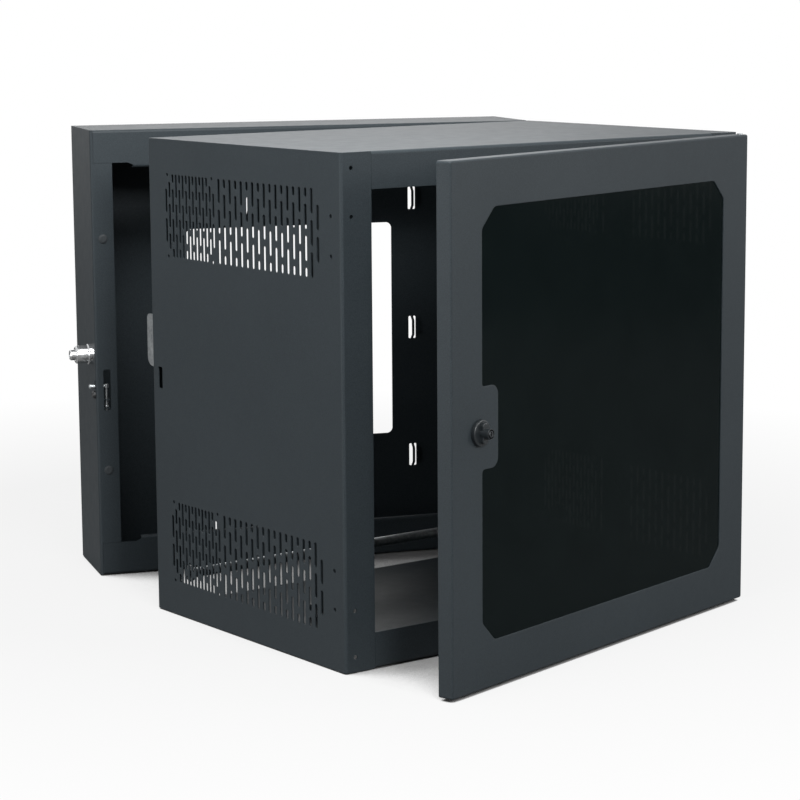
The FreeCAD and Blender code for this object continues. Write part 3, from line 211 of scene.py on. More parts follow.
class Bench:
    """The node tree of one material or world."""

    def __init__(self, tree: bpy.types.NodeTree) -> None:
        """Clear the tree to start from nothing."""
        self.tree = tree
        tree.nodes.clear()

    def node(self, kind: str, settings: Optional[dict] = None, values: Optional[dict] = None,
             out: Union[str, int] = 0) -> Signal:
        """Add a node.

        Args:
            kind: The node's type.
            settings: Properties set first.
            values: Numbers, colours or signals for inputs, by name or place.
            out: The output to hand back, by name or place.

        Returns:
            The output as a signal.
        """
        made = self.tree.nodes.new(kind)
        for name, value in (settings or {}).items():
            setattr(made, name, value)
        for name, value in (values or {}).items():
            if isinstance(value, Signal):
                self.tree.links.new(value.socket, made.inputs[name])
            else:
                made.inputs[name].default_value = value
        return Signal(self, made.outputs[out]) if made.outputs else None

    def place(self) -> Signal:
        """Object coordinates, in metres."""
        return self.node("ShaderNodeTexCoord", out="Object")

    def noise(self, per_metre: float, detail: float = 2.0, rough: float = 0.5) -> Signal:
        """Even noise with features of about one over per_metre."""
        return self.node("ShaderNodeTexNoise", {},
                         {"Vector": self.place(), "Scale": per_metre, "Detail": detail, "Roughness": rough})

    def ramp(self, signal: Signal, low: float, high: float) -> Signal:
        """Signal stretched so that low becomes 0 and high becomes 1."""
        return self.node("ShaderNodeMapRange", {"clamp": True},
                         {"Value": signal, "From Min": low, "From Max": high})

    def blend(self, factor: Signal, first: Colour, second: Colour) -> Signal:
        """Colour between two colours."""
        return self.node("ShaderNodeMix", {"data_type": "RGBA"},
                         {0: factor, 6: (*first, 1), 7: (*second, 1)}, out=2)

    def bump(self, height: Signal, strength: float, distance: float,
             under: Optional[Signal] = None) -> Signal:
        """Normal roughened by a height signal, over another bump where one is given."""
        values = {"Height": height, "Strength": strength, "Distance": distance}
        if under is not None:
            values["Normal"] = under
        return self.node("ShaderNodeBump", {}, values)

    def principled(self, values: dict) -> None:
        """Close the tree with a Principled surface."""
        surface = self.node("ShaderNodeBsdfPrincipled", {}, values)
        self.node("ShaderNodeOutputMaterial", {}, {"Surface": surface})


def new_bench(name: str) -> tuple[bpy.types.Material, Bench]:
    """A new material with its empty bench."""
    material = bpy.data.materials.new(name)
    material.use_nodes = True
    return material, Bench(material.node_tree)


# ---- finishes -----------------------------------------------------------------------
@dataclass(frozen=True)
class PowderCoat:
    """Fine-textured powder coat baked on sheet steel."""

    name: str = "charcoal_powder_coat"
    slot: str = "powder_coat"
    deep: Colour = (0.0190, 0.0250, 0.0290)
    pale: Colour = (0.0290, 0.0370, 0.0425)
    grain: float = 900.0
    peel: float = 210.0
    gloss: float = 0.18

    def make(self) -> bpy.types.Material:
        """Speckled colour, uneven sheen, sandy grain over a slow orange peel."""
        material, bench = new_bench(self.name)
        speck = bench.noise(self.grain, 1.0)
        cloud = bench.noise(5.0, 3.0)
        colour = bench.blend(bench.ramp(speck * 0.75 + cloud * 0.25, 0.36, 0.64), self.deep, self.pale)
        rough = 0.44 + 0.10 * bench.noise(60.0, 2.0)
        peel = bench.bump(bench.noise(self.peel, 1.0), 0.10, 0.0005)
        grain = bench.bump(speck, 0.22, 0.00025, peel)
        bench.principled({"Base Color": colour, "Roughness": rough, "Normal": grain,
                          "Specular IOR Level": self.gloss})
        return material


@dataclass(frozen=True)
class Plating:
    """Bright or dull metal plating."""

    name: str
    slot: str
    deep: Colour
    pale: Colour
    rough: Pair
    spangle: float
    scratch: float = 0.05

    def make(self) -> bpy.types.Material:
        """Metal with spangle patches, a hazy sheen and fine handling scratches."""
        material, bench = new_bench(self.name)
        patch = bench.node("ShaderNodeTexVoronoi", {}, {"Vector": bench.place(), "Scale": self.spangle},
                           out="Distance")
        haze = bench.noise(70.0, 3.0)
        colour = bench.blend(bench.ramp(patch * 0.5 + haze * 0.7, 0.25, 0.85), self.deep, self.pale)
        rough = self.rough[0] + (self.rough[1] - self.rough[0]) * haze
        stretched = bench.node("ShaderNodeMapping", {}, {"Vector": bench.place(), "Scale": (1.0, 1.0, 14.0)})
        lines = bench.node("ShaderNodeTexNoise", {}, {"Vector": stretched, "Scale": 260.0, "Detail": 2.0})
        normal = bench.bump(lines, self.scratch, 0.0002)
        bench.principled({"Base Color": colour, "Metallic": 1.0, "Roughness": rough, "Normal": normal})
        return material


@dataclass(frozen=True)
class Moulded:
    """Moulded plastic, rubber or blackened screw steel."""

    name: str
    slot: str
    deep: Colour
    pale: Colour
    rough: Pair
    grain: float
    relief: float
    metal: float = 0.0
    gloss: float = 0.5
    alpha: float = 1.0

    def make(self) -> bpy.types.Material:
        """Faintly clouded colour and sheen with a fine mould or tumbling grain."""
        material, bench = new_bench(self.name)
        cloud = bench.noise(24.0, 3.0)
        grain = bench.noise(self.grain, 2.0)
        colour = bench.blend(bench.ramp(cloud * 0.6 + grain * 0.4, 0.35, 0.68), self.deep, self.pale)
        rough = self.rough[0] + (self.rough[1] - self.rough[0]) * bench.noise(38.0, 2.0)
        values = {"Base Color": colour, "Roughness": rough, "Metallic": self.metal,
                  "Normal": bench.bump(grain, self.relief, 0.0002), "Specular IOR Level": self.gloss}
        if self.alpha < 1:
            values["Alpha"] = self.alpha
        bench.principled(values)
        return material


FINISHES = (
    PowderCoat(),
    Plating("bright_chrome", "chrome_plate", (0.46, 0.47, 0.48), (0.70, 0.71, 0.72),
            (0.12, 0.26), 90.0, 0.03),
    Plating("dull_zinc", "zinc_plate", (0.24, 0.26, 0.27), (0.42, 0.44, 0.45), (0.34, 0.50), 240.0),
    Moulded("blackened_steel", "black_oxide", (0.020, 0.021, 0.022), (0.042, 0.043, 0.045), (0.34, 0.48),
            1500.0, 0.12, metal=0.4),
    Moulded("black_rubber", "black_rubber", (0.012, 0.016, 0.019), (0.024, 0.030, 0.034), (0.62, 0.78),
            1100.0, 0.25),
    Moulded("smoked_acrylic", "smoked_acrylic", (0.0030, 0.0056, 0.0058), (0.0040, 0.0070, 0.0072),
            (0.10, 0.16), 16.0, 0.006, gloss=0.05, alpha=0.95),
    Moulded("black_plastic", "black_plastic", (0.010, 0.013, 0.015), (0.018, 0.022, 0.025), (0.30, 0.42),
            1300.0, 0.10, gloss=0.4),
    # Dark metal for the key plug's face, darker than the zinc plate.
    Plating("worn_plug", "plug_face", (0.030, 0.034, 0.037), (0.075, 0.080, 0.085), (0.38, 0.52), 240.0),
)


class Paint:
    """The made materials, by the record's slot names."""

    def __init__(self) -> None:
        """Make each finish once."""
        self.materials = {finish.slot: finish.make() for finish in FINISHES}

    def of(self, slot: str) -> bpy.types.Material:
        """Material of a slot."""
        return self.materials[slot]


# ---- mesh shells --------------------------------------------------------------------
class Shell:
    """Closed skin collected face by face; points join and back-to-back faces vanish."""

    def __init__(self) -> None:
        """Start empty."""
        self.index: dict[tuple[int, int, int], int] = {}
        self.points: list[Vector] = []
        self.faces: dict[frozenset, tuple[list[int], Optional[list[Vector]]]] = {}

    def _corner(self, point: Vector) -> int:
        """Number of a point, new or already there."""
        key = tuple(round(value * 2000) for value in point)
        if key not in self.index:
            self.index[key] = len(self.points)
            self.points.append(Vector(point))
        return self.index[key]

    def face(self, points: Sequence[Vector], normals: Optional[Sequence[Vector]] = None) -> None:
        """Add a face.

        Args:
            points: Its corners, in millimetres.
            normals: Its corner normals where it is part of a curve; either way out.
        """
        corners: list[int] = []
        kept: list[Vector] = []
        for i, point in enumerate(points):
            number = self._corner(point)
            if number not in corners:
                corners.append(number)
                if normals:
                    kept.append(normals[i])
        key = frozenset(corners)
        if len(key) < 3:
            return
        if key in self.faces:
            del self.faces[key]
            return
        self.faces[key] = (corners, kept or None)

    def build(self, name: str, place: Matrix) -> bpy.types.Mesh:
        """Make the mesh in metres at its place, facing outwards, with its corner normals."""
        mesh = bpy.data.meshes.new(name)
        rows = list(self.faces.values())
        mesh.from_pydata([place @ (point * MM) for point in self.points], [],
                         [corners for corners, _ in rows])
        work = bmesh.new()
        work.from_mesh(mesh)
        bmesh.ops.recalc_face_normals(work, faces=work.faces)
        work.to_mesh(mesh)
        work.free()
        turn = place.to_3x3()
        out: list[Vector] = []
        for polygon, (corners, normals) in zip(mesh.polygons, rows):
            polygon.use_smooth = True
            if normals is None:
                out += [polygon.normal.copy()] * polygon.loop_total
                continue
            by_corner = dict(zip(corners, normals))
            for loop in polygon.loop_indices:
                normal = turn @ by_corner[mesh.loops[loop].vertex_index]
                out.append(normal if normal.dot(polygon.normal) >= 0 else -normal)
        mesh.normals_split_custom_set(out)
        return mesh


@dataclass(frozen=True)
class Run:
    """One stretch of a rounded profile with the normals at its ends."""

    start: Vector
    end: Vector
    start_normal: Vector
    end_normal: Vector


def rounded_runs(corners: Sequence[tuple[float, float, float]], closed: bool = True,
                 steps: int = 5) -> list[Run]:
    """Straight and curved stretches of a profile.

    Args:
        corners: (u, v, radius) points in order.
        closed: Whether the last point joins the first.
        steps: Stretches that each rounded corner is cut into.

    Returns:
        The stretches in order.
    """
    spots = [Vector((u, v)) for u, v, _ in corners]
    count = len(spots)
    arcs: list[list[tuple[Vector, Vector]]] = []
    for i, (_, _, radius) in enumerate(corners):
        inner = closed or 0 < i < count - 1
        here = spots[i]
        if not radius or not inner:
            arcs.append([(here, Vector((0, 0)))])
            continue
        back = (spots[i - 1] - here).normalized()
        ahead = (spots[(i + 1) % count] - here).normalized()
        half = back.angle(ahead) / 2
        centre = here + (back + ahead).normalized() * (radius / math.sin(half))
        first = here + back * (radius / math.tan(half)) - centre
        turn = math.pi - 2 * half
        sign = 1 if (back.x * ahead.y - back.y * ahead.x) < 0 else -1
        arc = []
        for k in range(steps + 1):
            spoke = first.copy()
            spoke.rotate(Matrix.Rotation(sign * turn * k / steps, 2))
            arc.append((centre + spoke, spoke.normalized()))
        arcs.append(arc)
    runs: list[Run] = []
    for i, arc in enumerate(arcs):
        for (start, normal), (end, next_normal) in zip(arc, arc[1:]):
            runs.append(Run(start, end, normal, next_normal))
        if i == count - 1 and not closed:
            break
        start, end = arc[-1][0], arcs[(i + 1) % count][0][0]
        along = end - start
        if along.length > 1e-4:
            side = Vector((-along.y, along.x)).normalized()
            runs.append(Run(start, end, side, side))
    return runs


def rounded_loop(corners: Sequence[tuple[float, float, float]], steps: int = 8) -> Loop:
    """Closed outline through rounded corners as plain points."""
    return [tuple(run.start) for run in rounded_runs(corners, True, steps)]


def grown_loop(loop: Loop, distance: float) -> Loop:
    """Closed outline moved sideways, to the right of its own direction."""
    grown: Loop = []
    for i, here in enumerate(loop):
        back = (Vector(here) - Vector(loop[i - 1])).normalized()
        ahead = (Vector(loop[(i + 1) % len(loop)]) - Vector(here)).normalized()
        away = Vector((back.y + ahead.y, -back.x - ahead.x)).normalized()
        lean = max(away.dot(Vector((back.y, -back.x))), 0.5)
        grown.append(tuple(Vector(here) + away * (distance / lean)))
    return grown


def turned(shell: Shell, corners: Sequence[tuple[float, float, float]], foot: Vector, axis: Vector,
           sides: int = 48, closed: bool = False, steps: int = 4) -> None:
    """Add a lathe-turned form.

    Args:
        shell: Where its faces go.
        corners: (radius, height, rounding) profile, from the axis out and back unless closed.
        foot: The profile's origin.
        axis: Direction of its height.
        sides: Facets round.
        closed: Whether the profile is a ring's section, as of a tube.
        steps: Facets in each rounding.
    """
    across = axis.orthogonal().normalized()
    up = axis.normalized()
    other = up.cross(across)
    spokes = [across * math.cos(2 * math.pi * i / sides) + other * math.sin(2 * math.pi * i / sides)
              for i in range(sides)]
    for run in rounded_runs(corners, closed, steps):
        for first, second in zip(spokes, spokes[1:] + spokes[:1]):
            ends = ((run.start, run.start_normal, first), (run.start, run.start_normal, second),
                    (run.end, run.end_normal, second), (run.end, run.end_normal, first))
            points = [foot + spoke * spot.x + up * spot.y for spot, _, spoke in ends]
            normals = [spoke * normal.x + up * normal.y for _, normal, spoke in ends]
            shell.face(points, normals)


# ---- punched sheet ------------------------------------------------------------------
@dataclass(frozen=True)
class Hole:
    """Punched hole: its middle, its size each way and its corner radius."""

    s: float
    w: float
    width: float
    height: float
    radius: float

    @classmethod
    def round(cls, s: float, w: float, radius: float) -> "Hole":
        """A round hole."""
        return cls(s, w, 2 * radius, 2 * radius, radius)


class SheetPress:
    """Geometry Nodes press that fills outlines, punches holes and gives the sheet its thickness."""

    corner_steps = 16

    def __init__(self, material: bpy.types.Material) -> None:
        """Build the press once; material is the finish its sheets carry."""
        self.material = material
        self.tree, self.keys = self._build()

    def _build(self) -> tuple[bpy.types.NodeTree, dict[str, str]]:
        """The node tree and the identifiers of its named inputs."""
        tree = bpy.data.node_groups.new("sheet_press", "GeometryNodeTree")
        face = tree.interface
        kinds = {"Geometry": "Geometry", "Thickness": "Float", "Hole Steps": "Int", "Solid": "Bool",
                 "Finish": "Material"}
        keys = {name: face.new_socket(name, in_out="INPUT", socket_type=f"NodeSocket{kind}").identifier
                for name, kind in kinds.items()}
        face.new_socket("Geometry", in_out="OUTPUT", socket_type="NodeSocketGeometry")
        bench = Bench(tree)
        gate = tree.nodes.new("NodeGroupInput")
        given = {name: Signal(bench, gate.outputs[name]) for name in kinds}

        def named(name: str, kind: str) -> Signal:
            """Attribute that the blank's points carry."""
            return bench.node("GeometryNodeInputNamedAttribute", {"data_type": kind}, {"Name": name})

        outline = bench.node("GeometryNodeMeshToCurve", {}, {"Mesh": given["Geometry"]})
        spots = bench.node("GeometryNodeMeshToPoints", {"mode": "VERTICES"},
                           {"Mesh": given["Geometry"], "Selection": named("hole", "BOOLEAN")})
        ring = bench.node("GeometryNodeCurvePrimitiveCircle", {"mode": "RADIUS"},
                          {"Resolution": given["Hole Steps"], "Radius": 1.0})
        half_step = bench.node("ShaderNodeMath", {"operation": "DIVIDE"},
                               {0: math.pi, 1: given["Hole Steps"]})
        turn = bench.node("ShaderNodeCombineXYZ", {}, {"Z": half_step})
        ring = bench.node("GeometryNodeTransform", {}, {"Geometry": ring, "Rotation": turn})
        quarter = bench.node("ShaderNodeVectorMath", {"operation": "SIGN"},
                             {0: bench.node("GeometryNodeInputPosition")})
        ring = bench.node("GeometryNodeStoreNamedAttribute", {"data_type": "FLOAT_VECTOR", "domain": "POINT"},
                          {"Geometry": ring, "Name": "quarter", "Value": quarter})
        holes = bench.node("GeometryNodeInstanceOnPoints", {},
                           {"Points": spots, "Instance": ring, "Scale": named("ease", "FLOAT")})
        holes = bench.node("GeometryNodeRealizeInstances", {}, {"Geometry": holes})
        reach = bench.node("ShaderNodeVectorMath", {"operation": "MULTIPLY"},
                           {0: named("quarter", "FLOAT_VECTOR"), 1: named("reach", "FLOAT_VECTOR")})
        holes = bench.node("GeometryNodeSetPosition", {}, {"Geometry": holes, "Offset": reach})
        join = tree.nodes.new("GeometryNodeJoinGeometry")
        tree.links.new(holes.socket, join.inputs[0])
        tree.links.new(outline.socket, join.inputs[0])
        skin = bench.node("GeometryNodeFillCurve", {"mode": "TRIANGLES"},
                          {"Curve": Signal(bench, join.outputs[0])})
        lifted = bench.node("GeometryNodeExtrudeMesh", {"mode": "FACES"},
                            {"Mesh": skin, "Offset": (0, 0, 1), "Offset Scale": given["Thickness"],
                             "Individual": False})
        under = bench.node("GeometryNodeFlipFaces", {}, {"Mesh": skin})
        both = tree.nodes.new("GeometryNodeJoinGeometry")
        tree.links.new(lifted.socket, both.inputs[0])
        tree.links.new(under.socket, both.inputs[0])
        slab = bench.node("GeometryNodeMergeByDistance", {}, {"Geometry": Signal(bench, both.outputs[0]),
                                                             "Distance": 0.0005})
        made = bench.node("GeometryNodeSwitch", {"input_type": "GEOMETRY"},
                          {"Switch": given["Solid"], "False": skin, "True": slab})
        made = bench.node("GeometryNodeRealizeInstances", {}, {"Geometry": made})
        made = bench.node("GeometryNodeSetMaterial", {}, {"Geometry": made, "Material": given["Finish"]})
        bench.node("NodeGroupOutput", {}, {"Geometry": made})
        return tree, keys

    def cut(self, loops: Sequence[Loop], holes: Sequence[Hole], thickness: float) -> list[list[Vector]]:
        """Punch a sheet.

        Args:
            loops: Outer outline and any large inner outlines.
            holes: Repeated holes.
            thickness: Sheet thickness, or 0 for a bare face.

        Returns:
            The corners of each face, with the thickness along the third axis.
        """
        points: list[tuple[float, float, float]] = []
        edges: list[tuple[int, int]] = []
        for loop in loops:
            base = len(points)
            points += [(u, v, 0.0) for u, v in loop]
            edges += [(base + i, base + (i + 1) % len(loop)) for i in range(len(loop))]
        plain = len(points)
        points += [(hole.s, hole.w, 0.0) for hole in holes]
        blank = bpy.data.meshes.new("blank")
        blank.from_pydata(points, edges, [])
        stretch = math.cos(math.pi / self.corner_steps)
        marks = [False] * plain + [True] * len(holes)
        blank.attributes.new("hole", "BOOLEAN", "POINT").data.foreach_set("value", marks)
        eases = [0.0] * plain + [hole.radius / stretch for hole in holes]
        blank.attributes.new("ease", "FLOAT", "POINT").data.foreach_set("value", eases)
        reaches = [0.0] * (3 * plain)
        for hole in holes:
            reaches += (hole.width / 2 - hole.radius, hole.height / 2 - hole.radius, 0.0)
        blank.attributes.new("reach", "FLOAT_VECTOR", "POINT").data.foreach_set("vector", reaches)
        piece = bpy.data.objects.new("blank", blank)
        bpy.context.scene.collection.objects.link(piece)
        press = piece.modifiers.new("press", "NODES")
        press.node_group = self.tree
        press[self.keys["Thickness"]] = thickness
        press[self.keys["Hole Steps"]] = self.corner_steps
        press[self.keys["Solid"]] = thickness > 0
        press[self.keys["Finish"]] = self.material
        graph = bpy.context.evaluated_depsgraph_get()
        made = bpy.data.meshes.new_from_object(piece.evaluated_get(graph))
        faces = [[made.vertices[i].co.copy() for i in polygon.vertices] for polygon in made.polygons]
        bpy.data.objects.remove(piece)
        bpy.data.meshes.remove(blank)
        bpy.data.meshes.remove(made)
        return faces


@dataclass
class Fold:
    """Sheet bent along a path, flat by flat and bend by bend.

    The path is the sheet's outer face, and the metal lies to its left.  Each flat is
    drawn with s along the path from its first corner and w along the bend.
    """

    path: Sequence[Pair]
    radii: Sequence[float]
    span: Pair
    lift: Callable[[float, float, float], Vector]
    thickness: float = LAYOUT.sheet
    holes: dict[int, list[Hole]] = field(default_factory=dict)
    loops: dict[int, list[Loop]] = field(default_factory=dict)
    flat_spans: dict[int, Pair] = field(default_factory=dict)
    bend_spans: dict[int, Pair] = field(default_factory=dict)
    breaks: Sequence[float] = ()
    steps: int = 8

    def _frame(self, i: int) -> tuple[Vector, Vector, Vector, float]:
        """Start, direction, inward side and length of flat i."""
        start, end = Vector(self.path[i]), Vector(self.path[i + 1])
        along = (end - start).normalized()
        return start, along, Vector((-along.y, along.x)), (end - start).length

    def limits(self, i: int) -> Pair:
        """Where flat i starts and ends between its bends."""
        length = self._frame(i)[3]
        first = self.radii[i - 1] if i > 0 else 0.0
        last = self.radii[i] if i < len(self.path) - 2 else 0.0
        return first, length - last

    def into(self, shell: Shell, press: SheetPress) -> None:
        """Add every flat and bend."""
        for i in range(len(self.path) - 1):
            self._flat(i, shell, press)
        for i in range(1, len(self.path) - 1):
            self._bend(i, shell)

    def _flat(self, i: int, shell: Shell, press: SheetPress) -> None:
        """Add flat i with its holes."""
        start, along, inward, _ = self._frame(i)
        low, high = self.limits(i)
        w0, w1 = self.flat_spans.get(i, self.span)
        loops = self.loops.get(i, [[(low, w0), (high, w0), (high, w1), (low, w1)]])
        for points in press.cut(loops, self.holes.get(i, []), self.thickness):
            raised = []
            for point in points:
                spot = start + along * point.x + inward * point.z
                raised.append(self.lift(spot.x, spot.y, point.y))
            shell.face(raised)

    def _bend(self, i: int, shell: Shell) -> None:
        """Add the quarter bend at corner i."""
        corner, _, inward, _ = self._frame(i)
        before = self._frame(i - 1)
        radius = self.radii[i - 1]
        hub = corner - before[1] * radius + before[2] * radius
        inner = max(radius - self.thickness, 0.2)
        back, ahead = -before[2], -inward
        spokes = []
        for k in range(self.steps + 1):
            turn = math.pi / 2 * k / self.steps
            spokes.append(back * math.cos(turn) + ahead * math.sin(turn))
        low, high = self.bend_spans.get(i, self.span)
        cuts = sorted({low, high, *(w for w in self.breaks if low < w < high)})
        origin = self.lift(0, 0, 0)

        def spot(spoke: Vector, reach: float, w: float) -> Vector:
            """Point on the bend."""
            place = hub + spoke * reach
            return self.lift(place.x, place.y, w)

        for w0, w1 in zip(cuts, cuts[1:]):
            for first, second in zip(spokes, spokes[1:]):
                way = [self.lift(n.x, n.y, 0) - origin for n in (first, second)]
                for reach in (radius, inner):
                    shell.face([spot(first, reach, w0), spot(second, reach, w0),
                                spot(second, reach, w1), spot(first, reach, w1)],
                               [way[0], way[1], way[1], way[0]])
                for w in (w0, w1):
                    shell.face([spot(first, radius, w), spot(second, radius, w),
                                spot(second, inner, w), spot(first, inner, w)])
            for spoke in (spokes[0], spokes[-1]):
                shell.face([spot(spoke, radius, w0), spot(spoke, radius, w1),
                            spot(spoke, inner, w1), spot(spoke, inner, w0)])


def box_shell(shell: Shell, low: Vector, high: Vector) -> None:
    """Add a plain closed bar between two corners, for edges that other sheet hides."""
    xs, ys, zs = ((low[i], high[i]) for i in range(3))
    for axis in range(3):
        for level in (0, 1):
            spans = [(xs, ys, zs)[i] for i in range(3) if i != axis]
            quad = []
            for a, b in ((0, 0), (1, 0), (1, 1), (0, 1)):
                spot = [spans[0][a], spans[1][b]]
                spot.insert(axis, (xs, ys, zs)[axis][level])
                quad.append(Vector(spot))
            shell.face(quad)


# ---- lifts --------------------------------------------------------------------------
def plan(side: Side = Side.LEFT) -> Callable[[float, float, float], Vector]:
    """Lift for sections drawn in plan; the right side is the left one mirrored."""
    flip = -side.value
    return lambda u, v, w: Vector((flip * u, v, w))


def profile(up: int = 1) -> Callable[[float, float, float], Vector]:
    """Lift for sections drawn from the side; up is -1 for the lower one of a pair."""
    return lambda u, v, w: Vector((w, u, up * v))


# ---- workshop -----------------------------------------------------------------------
class Workshop:
    """Turns shells into named pieces that ride on the cabinet's bodies."""

    def __init__(self) -> None:
        """Set out the stored pose, the materials and the press."""
        self.stance = Stance(frame["joints"])
        self.paint = Paint()
        self.press = SheetPress(self.paint.of("powder_coat"))
        self.setter = self._set_out_tree()

    def add(self, mesh: bpy.types.Mesh, slot: str, body: Body, nodes: Sequence[str],
            finish: Optional[str] = None) -> bpy.types.Object:
        """Make a piece of a mesh.

        Args:
            mesh: The finished mesh, whose name the piece takes.
            slot: Its material slot in the record.
            body: The body it rides on.
            nodes: CAD nodes that it stands for.
            finish: Another finish for it than its slot's.

        Returns:
            The piece.
        """
        mesh.materials.clear()
        mesh.materials.append(self.paint.of(finish or slot))
        piece = bpy.data.objects.new(mesh.name, mesh)
        bpy.context.scene.collection.objects.link(piece)
        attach(piece, body.value)
        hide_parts(*nodes)
        LOG.info("%s rides on %s: %d faces", piece.name, body.value, len(mesh.polygons))
        return piece

    def piece(self, name: str, shell: Shell, slot: str, body: Body, *nodes: str,
              finish: Optional[str] = None) -> bpy.types.Object:
        """Make a piece of a shell, carried to its body's stored pose."""
        return self.add(shell.build(name, self.stance.of(body)), slot, body, nodes, finish)

    def _set_out_tree(self) -> tuple[bpy.types.NodeTree, dict[str, str]]:
        """Geometry Nodes tree that sets one pattern out on marked points."""
        tree = bpy.data.node_groups.new("set_out", "GeometryNodeTree")
        kinds = {"Geometry": "Geometry", "Pattern": "Object", "Size": "Float", "Finish": "Material"}
        keys = {name: tree.interface.new_socket(name, in_out="INPUT",
                                                socket_type=f"NodeSocket{kind}").identifier
                for name, kind in kinds.items()}
        tree.interface.new_socket("Geometry", in_out="OUTPUT", socket_type="NodeSocketGeometry")
        bench = Bench(tree)
        gate = tree.nodes.new("NodeGroupInput")
        given = {name: Signal(bench, gate.outputs[name]) for name in kinds}
        pattern = bench.node("GeometryNodeObjectInfo", {"transform_space": "ORIGINAL"},
                             {"Object": given["Pattern"]}, out="Geometry")
        aim = bench.node("GeometryNodeInputNamedAttribute", {"data_type": "FLOAT_VECTOR"}, {"Name": "aim"})
        turn = bench.node("FunctionNodeEulerToRotation", {}, {"Euler": aim})
        made = bench.node("GeometryNodeInstanceOnPoints", {},
                          {"Points": given["Geometry"], "Instance": pattern, "Rotation": turn,
                           "Scale": given["Size"]})
        made = bench.node("GeometryNodeRealizeInstances", {}, {"Geometry": made})
        made = bench.node("GeometryNodeSetMaterial", {}, {"Geometry": made, "Material": given["Finish"]})
        bench.node("NodeGroupOutput", {}, {"Geometry": made})
        return tree, keys

    def set_out(self, name: str, pattern: Shell, seats: Sequence[tuple[Vector, Vector, float]], slot: str,
                body: Body, *nodes: str) -> bpy.types.Object:
        """Repeat a small form.

        Args:
            name: The piece's name.
            pattern: The form, standing on its origin with its axis up.
            seats: (place, axis, turn about the axis) of each copy, in millimetres and radians.
            slot: Material slot.
            body: The body they ride on.
            nodes: CAD nodes that they stand for.

        Returns:
            The piece with every copy in it.
        """
        tree, keys = self.setter
        model = bpy.data.objects.new("pattern", pattern.build("pattern", Matrix.Identity(4)))
        bpy.context.scene.collection.objects.link(model)
        stand = self.stance.of(body)
        blank = bpy.data.meshes.new("seats")
        blank.from_pydata([stand @ (place * MM) for place, _, _ in seats], [], [])
        aims = blank.attributes.new("aim", "FLOAT_VECTOR", "POINT")
        for i, (_, axis, turn) in enumerate(seats):
            toward = stand.to_3x3() @ axis
            quat = toward.to_track_quat("Z", "Y").to_matrix() @ Matrix.Rotation(turn, 3, "Z")
            aims.data[i].vector = quat.to_euler()
        carrier = bpy.data.objects.new("seats", blank)
        bpy.context.scene.collection.objects.link(carrier)
        setter = carrier.modifiers.new("set_out", "NODES")
        setter.node_group = tree
        setter[keys["Pattern"]] = model
        setter[keys["Size"]] = 1.0
        setter[keys["Finish"]] = self.paint.of(slot)
        graph = bpy.context.evaluated_depsgraph_get()
        mesh = bpy.data.meshes.new_from_object(carrier.evaluated_get(graph))
        mesh.name = name
        for loose in (carrier, model):
            bpy.data.objects.remove(loose)
        return self.add(mesh, slot, body, nodes)

    def dress(self, node: str, slot: str) -> None:
        """Give a CAD node that stays as it is its material."""
        data = frame["nodes"][node].data
        if not data.materials:
            data.materials.append(None)
        for i in range(len(data.materials)):
            data.materials[i] = self.paint.of(slot)

    def cross_head(self, radius: float, height: float, depth: float = 1.6) -> Shell:
        """Pan screw head with a cross recess, standing on its seat."""
        shell = Shell()
        crown, arm, slim = radius * 0.62, radius * 0.46, radius * 0.13
        turned(shell, [(0, 0, 0), (radius, 0, 0), (radius, height * 0.55, height * 0.2), (crown, height, 0)],
               Vector(), Vector((0, 0, 1)), sides=32)
        cross = []
        for k in range(4):
            cos, sin = round(math.cos(k * math.pi / 2)), round(math.sin(k * math.pi / 2))
            for u, v in ((slim, -slim), (arm, -slim), (arm, slim)):
                cross.append((u * cos - v * sin, u * sin + v * cos))
        across = Vector((0, 0, 1)).orthogonal().normalized()
        other = Vector((0, 0, 1)).cross(across)
        rim = []
        for i in range(32):
            spoke = across * math.cos(2 * math.pi * i / 32) + other * math.sin(2 * math.pi * i / 32)
            rim.append((spoke.x * crown, spoke.y * crown))
        for points in self.press.cut([rim, cross], [], 0.0):
            shell.face([Vector((p.x, p.y, height)) for p in points])
        foot = height - depth
        for points in self.press.cut([cross], [], 0.0):
            shell.face([Vector((p.x * 0.7, p.y * 0.7, foot)) for p in points])
        for (u0, v0), (u1, v1) in zip(cross, cross[1:] + cross[:1]):
            shell.face([Vector((u0, v0, height)), Vector((u1, v1, height)),
                        Vector((u1 * 0.7, v1 * 0.7, foot)), Vector((u0 * 0.7, v0 * 0.7, foot))])
        return shell


